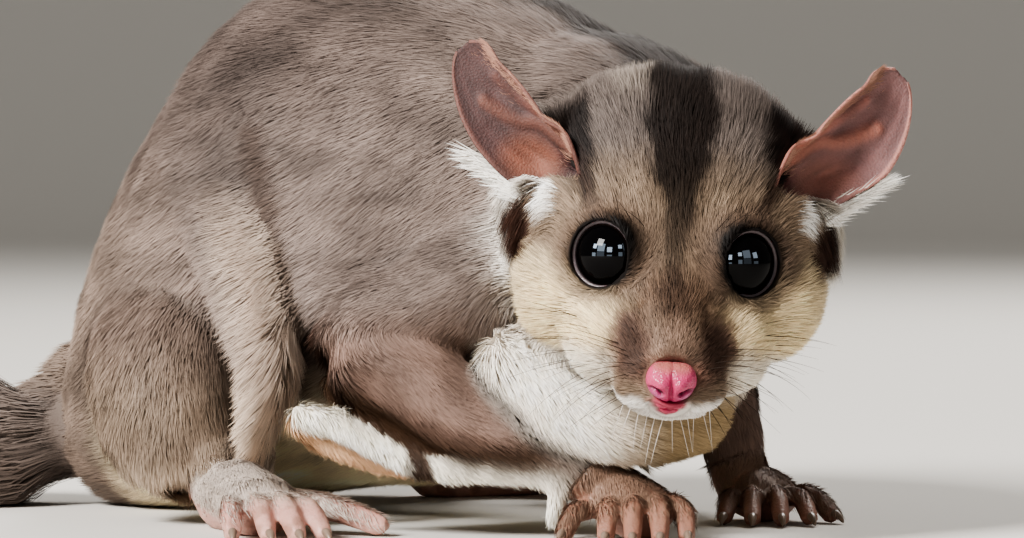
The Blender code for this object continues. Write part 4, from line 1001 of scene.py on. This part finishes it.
def build_eyes():
    made = []
    for name, side in (("eye_right", -1), ("eye_left", 1)):
        bm = bmesh.new()
        turn = eye_way(side).to_track_quat("Z", "X").to_matrix().to_4x4()
        bmesh.ops.create_uvsphere(bm, u_segments=56, v_segments=36, radius=EYE_RADIUS,
                                  matrix=Matrix.Translation(eye_centre(side)) @ turn)
        obj = from_bmesh(name + "_globe", bm)
        angle = np.degrees(np.arccos(np.clip(unit(places(obj) - np.array(eye_centre(side))) @ np.array(eye_way(side)), -1, 1)))
        colour = np.tile(linear("#050405"), (len(angle), 1))
        colour = blend(colour, "#120b08", smooth(44.0, 50.0, angle))
        paint(obj, colour)
        made.append(place_piece(obj, CORNEA, (name,)))
    return made


def build_lids():
    """A thin moist rim round each eye, drawn out a little toward the nose."""
    for name, side in (("lid_right", -1), ("lid_left", 1)):
        centre, way = eye_centre(side), eye_way(side)
        bm = bmesh.new()
        rim = centre + way * (math.sqrt(EYE_RADIUS ** 2 - EYE_OPENING ** 2) + 0.15)
        out = way.orthogonal().normalized()
        # A rounded margin that slopes back under the fur.
        section = [(-0.3, -0.5), (-0.22, 0.1), (0.02, 0.3), (0.28, 0.18), (0.62, -0.35), (1.1, -1.2), (1.0, -1.6),
                   (0.3, -1.2)]
        ring = [bm.verts.new(rim + out * (EYE_OPENING + across) + way * height) for across, height in section]
        edges = [bm.edges.new((ring[i], ring[(i + 1) % len(ring)])) for i in range(len(ring))]
        bmesh.ops.spin(bm, geom=ring + edges, cent=rim, axis=way, angle=2 * math.pi, steps=56,
                       use_merge=True, use_duplicate=False)
        inner = (head_point(0.0, 14.0, -5.0) - centre)
        inner = (inner - way * inner.dot(way)).normalized()
        for vert in bm.verts:
            reach = vert.co - rim
            toward = (reach - way * reach.dot(way)).normalized().dot(inner)
            vert.co += inner * (0.7 * max(0.0, toward - 0.8) / 0.2)
        bmesh.ops.recalc_face_normals(bm, faces=bm.faces)
        obj = from_bmesh(name, bm)
        # Grey, lighter than the near-black lid skin: partly painted sheen of the wet margin.
        paint(obj, np.tile(linear("#5c5053"), (len(obj.data.vertices), 1)))
        place_piece(obj, LID_SKIN)


def build_nose():
    """A bare pad shaped like a shield: two lobes, a groove between them and comma-shaped nostrils."""
    outline = np.array([(-180, 3.0), (-150, 2.75), (-125, 2.35), (-90, 2.35), (-55, 2.35), (-30, 2.75), (0, 3.0),
                        (25, 3.05), (42, 2.95), (65, 2.4), (90, 2.15), (115, 2.4), (138, 2.95), (155, 3.05), (180, 3.0)])
    slit = [(1.15, 0.0, -0.55), (1.7, 0.0, -0.2), (2.35, 0.0, -0.25), (2.85, 0.0, -0.7)]
    bm = bmesh.new()
    bmesh.ops.create_uvsphere(bm, u_segments=96, v_segments=72, radius=1.0)
    unit_place = np.array([vert.co[:] for vert in bm.verts])
    rho = np.hypot(unit_place[:, 0], unit_place[:, 2])
    theta = np.degrees(np.arctan2(unit_place[:, 2], unit_place[:, 0]))
    radius = np.interp(theta, outline[:, 0], outline[:, 1])
    front = np.where(unit_place[:, 1] < 0, 1.0, -1.0) * (1 - np.clip(rho, 0, 1) ** 2.4) ** 0.5
    place = np.stack([unit_place[:, 0] * radius, -front * 2.4, unit_place[:, 2] * radius], 1)
    ahead = np.clip(front, 0.0, 1.0)
    across = np.abs(place[:, 0])
    groove = np.exp(-(across / 0.26) ** 2) * np.interp(place[:, 2], [-2.3, 0.2, 1.6, 2.2], [1.0, 0.75, 0.5, 0.3])
    half = np.stack([across, across * 0, place[:, 2]], 1)
    nostril = np.exp(-(nearest_on(half, slit)[0] / 0.26) ** 2)
    lobe = 0.55 * np.exp(-((across - 1.35) / 0.95) ** 2 - ((place[:, 2] - 0.75) / 0.95) ** 2)
    lower = 0.4 * np.exp(-((across - 1.3) / 0.7) ** 2 - ((place[:, 2] + 1.35) / 0.6) ** 2)
    place[:, 1] += ahead * (0.75 * groove + 1.25 * nostril - lobe - lower) * 0.8
    place[:, 1] += 0.05 * noise(place * (1.0, 0.2, 1.0), 0.45, 65) * ahead
    for vert, spot_at in zip(bm.verts, place):
        vert.co = spot_at
    bmesh.ops.transform(bm, matrix=Matrix.Translation(head_point(-0.2, 17.7, -7.3)) @ HEAD_TURN.to_4x4(), verts=bm.verts)
    bmesh.ops.recalc_face_normals(bm, faces=bm.faces)
    obj = from_bmesh("nose_pad", bm)
    colour = np.tile(linear("#c54d73"), (len(place), 1))
    colour = blend(colour, "#b02a5c", spot(across, place[:, 2], (0.8, -0.4), (1.3, 1.5), 0.0, 0.6) * 0.6)
    colour = blend(colour, "#a85f8c", spot(across, place[:, 2], (2.0, -1.2), (1.0, 0.8), 0.0, 0.6) * 0.6)
    colour = blend(colour, "#b87068", smooth(1.5, 2.3, place[:, 2]))
    colour = blend(colour, "#8a1f3d", groove * 0.6)
    colour = blend(colour, "#3a0d16", nostril * ahead)
    colour = colour * (1 + 0.1 * noise(place, 0.6, 66))[:, None]
    paint(obj, colour)
    place_piece(obj, NOSE_SKIN, ("nose",))


def build_mouth():
    """Small lobed lips under the nose; the mouth runs back from them as a crease in the fur."""
    for name, (s, f, u), radii in (("lip_right", (-0.95, 18.2, -9.9), (0.95, 0.8, 0.7)),
                                   ("lip_left", (0.6, 18.2, -9.9), (0.95, 0.8, 0.7)),
                                   ("lower_lip", (-0.15, 17.6, -11.0), (1.15, 0.9, 0.5))):
        bm = bmesh.new()
        bmesh.ops.create_uvsphere(bm, u_segments=32, v_segments=20, radius=1.0)
        bmesh.ops.scale(bm, vec=radii, verts=bm.verts)
        bmesh.ops.transform(bm, matrix=Matrix.Translation(head_point(s, f, u)) @ HEAD_TURN.to_4x4(), verts=bm.verts)
        obj = from_bmesh(name, bm)
        colour = np.tile(linear("#bc4463"), (len(obj.data.vertices), 1))
        colour = colour * (1 + 0.12 * noise(places(obj), 0.5, 67))[:, None]
        paint(obj, colour)
        place_piece(obj, NOSE_SKIN)


def build_ears():
    """Thin cupped leaves with a rolled rim and folds that fan out from the base."""
    rows, columns = 64, 44
    for name, side in (("ear_right", -1), ("ear_left", 1)):
        bm = bmesh.new()
        bmesh.ops.create_grid(bm, x_segments=columns, y_segments=rows, size=0.5)
        flat = np.array([vert.co[:2] for vert in bm.verts])
        reach = EARS[0, 0] + (EARS[-1, 0] - EARS[0, 0]) * (flat[:, 1] + 0.5)
        inward = 2 * flat[:, 0]
        place, facing = ear_leaf(side, reach, inward)
        ridge = nearest_on(np.stack([reach * 15, inward * 5.4, reach * 0], 1), EAR_RIDGE)[0]
        fold = 0.6 * np.exp(-(ridge / 0.7) ** 2)
        second = nearest_on(np.stack([reach * 15, inward * 5.4, reach * 0], 1), EAR_SECOND)[0]
        fold += 0.35 * np.exp(-(second / 0.6) ** 2)
        fold -= 1.6 * np.exp(-((reach + 0.12) / 0.09) ** 2 - ((inward - 0.2) / 0.3) ** 2)
        fold -= 0.7 * np.exp(-((reach - 0.13) / 0.12) ** 2 - ((inward + 0.4) / 0.28) ** 2)
        fold += 0.1 * noise(np.stack([reach * 15, inward * 5, reach * 0], 1), 1.6, 62)
        fold += 0.16 * np.exp(-((1.0 - np.abs(inward)) / 0.07) ** 2)
        place = place + facing * fold[:, None]
        for vert, spot_at in zip(bm.verts, place):
            vert.co = spot_at
        bmesh.ops.recalc_face_normals(bm, faces=bm.faces)
        if sum((face.normal.dot(Vector(facing[0])) for face in bm.faces)) < 0:
            bmesh.ops.reverse_faces(bm, faces=bm.faces)
        keep = len(bm.verts)
        bmesh.ops.solidify(bm, geom=bm.faces[:], thickness=-0.4)
        total = len(bm.verts)
        obj = from_bmesh(name + "_leaf", bm)
        part = np.tile(np.arange(keep), 2)[:total]
        reach, inward, ridge, second = reach[part], inward[part], ridge[part], second[part]
        colour = np.tile(linear("#5b4241"), (total, 1))
        # The orange base is given a duller colour on the left ear, to offset its painted light below.
        colour = blend(colour, "#9c6350" if side < 0 else "#6e4a42",
                       spot(reach, inward, (0.1, -0.42), (0.2, 0.5), 0.0, 0.5) * 0.85)
        colour = blend(colour, "#72493e", spot(reach, inward, (0.12, 0.75), (0.5, 0.34), 0.0, 0.5))
        colour = blend(colour, "#865649", np.exp(-(ridge / 0.6) ** 2) * 0.75)
        colour = blend(colour, "#7a4b40", np.exp(-(second / 0.5) ** 2) * 0.5)
        colour = blend(colour, "#42181c", spot(reach, inward, (-0.12, 0.2), (0.13, 0.34), 0.0, 0.5) * 0.9)
        colour = blend(colour, "#94685f", smooth(0.9, 0.99, np.abs(inward)) * smooth(0.05, 0.3, reach) * 0.7)
        streak = noise(np.stack([reach * 4.0, inward * 6.0, reach * 0.0], 1), 0.8, 61)
        mottle = noise(np.stack([reach * 15, inward * 5.0, reach * 0.0], 1), 2.2, 63)
        # Painted light and shade: the left ear is brightened as if it caught the light, the right ear darkened.
        colour = colour * (1 + 0.22 * streak + 0.2 * mottle)[:, None] * (0.75 if side < 0 else 1.9)
        paint(obj, colour)
        place_piece(obj, EAR_SKIN, (name,))


def build_ear_hair():
    """White tufts that stand out under the outer edge, and fine down along the inner rim."""
    draw = np.random.default_rng(91)
    for name, side in (("right", -1), ("left", 1)):
        count = 7000
        reach, inward = draw.uniform(-0.3, 0.35, count), draw.uniform(-1.05, 0.35, count)
        chosen = reach < ear_fur_line(inward) + draw.normal(0.0, 0.03, count)
        chosen &= (reach < 0.08) | (inward < -0.92)
        reach, inward = reach[chosen], inward[chosen]
        roots, facing = ear_leaf(side, reach, inward)
        along = unit(np.array(ear_line(side)[1] - ear_line(side)[0]))
        fall = smooth(-0.9, -0.2, inward)[:, None]
        outward = unit(np.array((side, 0.0, 0.0)) + along * 0.35 + facing * 0.25) * (1 - fall)
        outward = outward + (np.array((side * 0.4, 0.0, 0.0)) - UP + facing * 0.2) * fall
        outward = outward + draw.normal(0.0, 0.12, (len(roots), 3))
        roots = roots + facing * 0.15
        edge = smooth(0.15, -0.35, inward)
        colour = blend(np.tile(linear("#a58a76"), (len(roots), 1)), "#fbf6ee", edge)
        tufts("coat_ear_base_" + name, roots, facing, outward, 1.6 + 2.6 * edge, 0.5 + 0.8 * edge,
              0.1 + 0.05 * edge, colour, 92, clump=0.6, gather=0.35)
        count = 4600
        reach, inward = draw.uniform(-0.1, 0.9, count), 0.97 - np.abs(draw.normal(0.0, 0.3, count))
        roots, facing = ear_leaf(side, reach, inward)
        flow = np.tile(along, (len(roots), 1)) * 0.9 + np.array((side, 0.0, 0.0)) * 0.4
        colour = np.tile(linear("#a37c6c"), (len(roots), 1))
        tufts("coat_ear_rim_" + name, roots + facing * 0.25, facing, flow, np.full(len(roots), 1.2),
              np.full(len(roots), 0.35), np.full(len(roots), 0.055), colour, 93, gather=0.0)


# ---------------------------------------------------------------- paws

def build_paws():
    for name in PAWS:
        verts, normals, triangles, edges = remeshed(name, cad_copy([name]), 0.0, 0.3, 5)
        verts[:, 2] = np.maximum(verts[:, 2], 0.0)
        foot = name.startswith("hind")
        middle = verts.mean(0)
        colour = np.tile(linear("#bf9287" if foot else "#946d5c"), (len(verts), 1))
        colour = blend(colour, "#d0a598" if foot else "#96695c", smooth(4.0, 1.0, verts[:, 2]) * 0.6)
        colour = blend(colour, "#8f6a5a", smooth(0.1, 0.5, noise(verts, 1.6, 71)) * 0.5)
        wrist = smooth(3.5, 6.5, verts[:, 2]) if foot else smooth(5.5, 8.5, verts[:, 2])
        colour = blend(colour, "#b3a598" if foot else "#97806f", wrist)
        obj = triangles_mesh(name + "_skin", verts, triangles, colours=colour)
        place_piece(obj, PAW_SKIN, (name,))
        # Short hair over the back of the paw, thinning out toward the digits.
        toes = np.array({"hand_right": (14.5, -2.0, 1.0), "hand_left": (32.5, 28.0, 1.0),
                         "hind_foot_right": (-26.0, 3.0, 1.0), "hind_foot_left": (0.0, 0.0, 1.0)}[name])
        if name == "hind_foot_left":
            toes = np.array(mirrored([(-26.0, 3.0, 1.0)])[0])
        wrist_end = middle + (middle - toes)
        reach = (verts - toes) @ unit(wrist_end - toes) / np.linalg.norm(wrist_end - toes)
        thick = smooth(0.1, 0.5, reach) * smooth(-0.4, 0.2, normals[:, 2]) * (40.0 if foot else 24.0)
        corners, mix = scatter(triangles, verts, thick, 1.0, 73)
        roots, out = at(verts, corners, mix), unit(at(normals, corners, mix))
        flow = np.tile(unit(toes - wrist_end) - UP * 0.2, (len(roots), 1))
        pale = np.tile(linear("#c9bcb2" if foot else "#8a7060"), (len(roots), 1))
        pale = pale * (1 + 0.15 * noise(roots, 1.4, 74))[:, None]
        tufts("coat_" + name, roots, out, flow, np.full(len(roots), 1.9), np.full(len(roots), 0.25),
              np.full(len(roots), 0.1), pale, 75, gather=0.0, vary=0.5)


# Where each clawed digit ends, and the way it points.
DIGITS = {
    "hand_right": [((6.4, 1.6), (7.8, 5.2)), ((11.2, -2.4), (11.6, 1.6)), ((14.4, -3.4), (14.6, 1.0)),
                   ((17.7, -3.0), (17.8, 1.2)), ((21.0, -1.0), (20.8, 2.6))],
    "hand_left": [((26.8, 29.0), (27.6, 32.6)), ((30.2, 27.0), (30.4, 31.0)), ((33.8, 26.6), (33.6, 30.6)),
                  ((37.4, 28.0), (36.6, 31.8)), ((40.4, 32.4), (38.6, 35.4))],
    "hind_foot_right": [((-22.8, 2.4), (-24.6, 6.8)), ((-25.9, 1.0), (-27.4, 5.8)), ((-29.4, 1.2), (-30.6, 5.8)),
                        ((-33.8, 3.0), (-34.2, 7.4))]}


def build_claws():
    DIGITS["hind_foot_left"] = [tuple(mirrored(pair)) for pair in DIGITS["hind_foot_right"]]
    for name, digits in DIGITS.items():
        bm = bmesh.new()
        for tip, before in digits:
            start = Vector((*tip[:2], 0.0))
            ahead = (start - Vector((*before[:2], 0.0))).normalized()
            rows = [(0.2, 1.2, 0.5), (0.9, 1.3, 0.56), (1.5, 1.15, 0.5), (2.1, 0.85, 0.38), (2.55, 0.5, 0.24),
                    (2.8, 0.3, 0.1)]
            sweep(bm, [tuple(start + ahead * reach + Vector((0, 0, z))) + (r,) for reach, z, r in curved(rows, 3)], sides=10)
        place_piece(from_bmesh("claws_" + name, bm), CLAW_HORN)


def build_whiskers():
    """Long tapered hairs from the pads, a few over the eyes and short ones on the chin."""
    draw = np.random.default_rng(81)
    starts = []
    for side in (-1, 1):
        for row in range(5):
            for k in range(7):
                starts.append(((side * (4.2 + 0.75 * k), 15.4 - 1.3 * k, -6.6 - 1.15 * row + 0.2 * k),
                               (side * (0.95 + 0.1 * k), 0.1 - 0.16 * k, 0.3 - 0.27 * row), 6.0 + 1.3 * k))
        for k in range(3):
            starts.append(((side * (4.6 + 1.3 * k), 4.5 - k, 6.6), (side * 0.5, 0.2, 0.9), 6.0))
        for k in range(6):
            starts.append(((side * (0.5 + 0.9 * k), 15.0 - 0.8 * k, -13.6), (side * 0.2, 0.25, -1.0), 5.5))
    steps, sides = 9, 3
    verts, triangles, colours = [], [], []
    for start, way, length in starts:
        place = np.array(head_point(*start))
        heading = np.array(HEAD_TURN @ Vector((way[0], -way[1], way[2])).normalized())
        heading = unit(heading + draw.normal(0.0, 0.1, 3))
        bend = np.array((0.0, 0.0, -0.35)) + draw.normal(0.0, 0.12, 3)
        length = length * draw.uniform(0.8, 1.15)
        chin = start[2] < -13.0
        place = place - heading * 0.6
        side = unit(np.cross(heading, UP + 0.1))
        top = np.cross(side, heading)
        first = len(verts)
        for i in range(steps):
            t = i / (steps - 1)
            centre = place + heading * length * t + bend * length * 0.5 * t * t
            radius = 0.06 * (1 - t) + 0.01
            for j in range(sides):
                turn = 2 * math.pi * j / sides
                spot_at = centre + radius * (math.cos(turn) * side + math.sin(turn) * top)
                verts.append(spot_at)
                colours.append(linear("#e5ddd6" if chin else "#32261f"))
        for i in range(steps - 1):
            for j in range(sides):
                a, b = first + i * sides + j, first + i * sides + (j + 1) % sides
                triangles += [(a, b, b + sides), (a, b + sides, a + sides)]
    obj = triangles_mesh("whiskers", np.array(verts), np.array(triangles), colours=np.array(colours))
    place_piece(obj, GUARD_HAIR)


# ---------------------------------------------------------------- stage, light and camera

def build_stage(eyes):
    floor_material, tree, shader = new_material("pale paper floor")
    shader.inputs["Base Color"].default_value = rgba("#d9d6d1")
    shader.inputs["Roughness"].default_value = 0.9
    # A paper sweep: flat in front, curved up behind.
    profile = [(-4.0, 0.0), (1.8, 0.0)]
    profile += [(1.8 + math.sin(a), 1.0 - math.cos(a)) for a in np.linspace(0.1, math.pi / 2, 16)]
    profile.append((2.8, 3.0))
    bm = bmesh.new()
    line = [bm.verts.new((-4.0, y, z)) for y, z in profile]
    edges = [bm.edges.new(pair) for pair in zip(line, line[1:])]
    moved = bmesh.ops.extrude_edge_only(bm, edges=edges)
    bmesh.ops.translate(bm, vec=(8.0, 0.0, 0.0), verts=[e for e in moved["geom"] if isinstance(e, bmesh.types.BMVert)])
    bmesh.ops.recalc_face_normals(bm, faces=bm.faces)
    mesh = bpy.data.meshes.new("paper_sweep")
    bm.to_mesh(mesh)
    bm.free()
    floor = bpy.data.objects.new("paper_sweep", mesh)
    bpy.context.scene.collection.objects.link(floor)
    floor.data.materials.append(floor_material)
    for face in mesh.polygons:
        face.use_smooth = True
    world = bpy.data.worlds.new("studio")
    bpy.context.scene.world = world
    world.use_nodes = True
    world.node_tree.nodes["Background"].inputs["Color"].default_value = rgba("#dcd9d4")
    world.node_tree.nodes["Background"].inputs["Strength"].default_value = 0.3
    wet = bpy.data.collections.new("wet eyes")
    for item in eyes:
        wet.objects.link(item)
    # Soft boxes: place, size, power and colour. Two sets of small panes are windows in the eyes.
    target = TO_ROW @ Vector((5.0, 15.0, 25.0))
    warm, cool = (1.0, 0.97, 0.93), (0.7, 0.84, 1.0)
    lamps = [("key", (-0.64, -0.54, 0.6), 0.32, 22.5, warm), ("back", (0.25, 0.75, 0.75), 0.5, 9.0, warm)]
    for middle, power in (((-0.56, -0.62, 0.16), 13.0), ((0.5, -0.68, 0.2), 6.0)):
        aside = Vector((middle[1], -middle[0], 0.0)).normalized()
        for i, wide in ((-1.15, 0.24), (0.0, 0.34), (0.9, 0.18)):
            for j, share in ((-1, 0.25), (1, 1.0)):
                lamps.append(("pane", Vector(middle) + aside * 0.36 * i + Vector((0.0, 0.0, 0.18 * j + 0.05 * i)), wide,
                              power * share, cool))
    for name, place, size, power, colour in lamps:
        lamp = bpy.data.lights.new(name, "AREA")
        lamp.shape = "SQUARE"
        lamp.size = size
        lamp.energy = power
        lamp.color = colour
        obj = bpy.data.objects.new(name, lamp)
        obj.location = target + Vector(place)
        obj.rotation_euler = (target - obj.location).to_track_quat("-Z", "Y").to_euler()
        obj.visible_camera = False
        if name == "pane":
            # The panes only show as reflections in the eyes.
            obj.light_linking.receiver_collection = wet
            obj.visible_diffuse = False
        bpy.context.scene.collection.objects.link(obj)
    bpy.context.scene.view_settings.look = "AgX - Medium High Contrast"
    camera = bpy.data.cameras.new("camera")
    camera.sensor_width = 36.0
    camera.lens = 5000.0 / 1024.0 * 36.0
    camera.clip_start = 0.01
    obj = bpy.data.objects.new("camera", camera)
    obj.location = TO_ROW @ Vector((0.0, -600.0, 48.8))
    obj.rotation_euler = (math.radians(90.0 - 1.5), 0.0, 0.0)
    bpy.context.scene.collection.objects.link(obj)
    bpy.context.scene.camera = obj


build_coat(*build_skin())
build_paws()
build_claws()
build_stage(build_eyes())
build_lids()
build_nose()
build_mouth()
build_ears()
build_ear_hair()
build_whiskers()
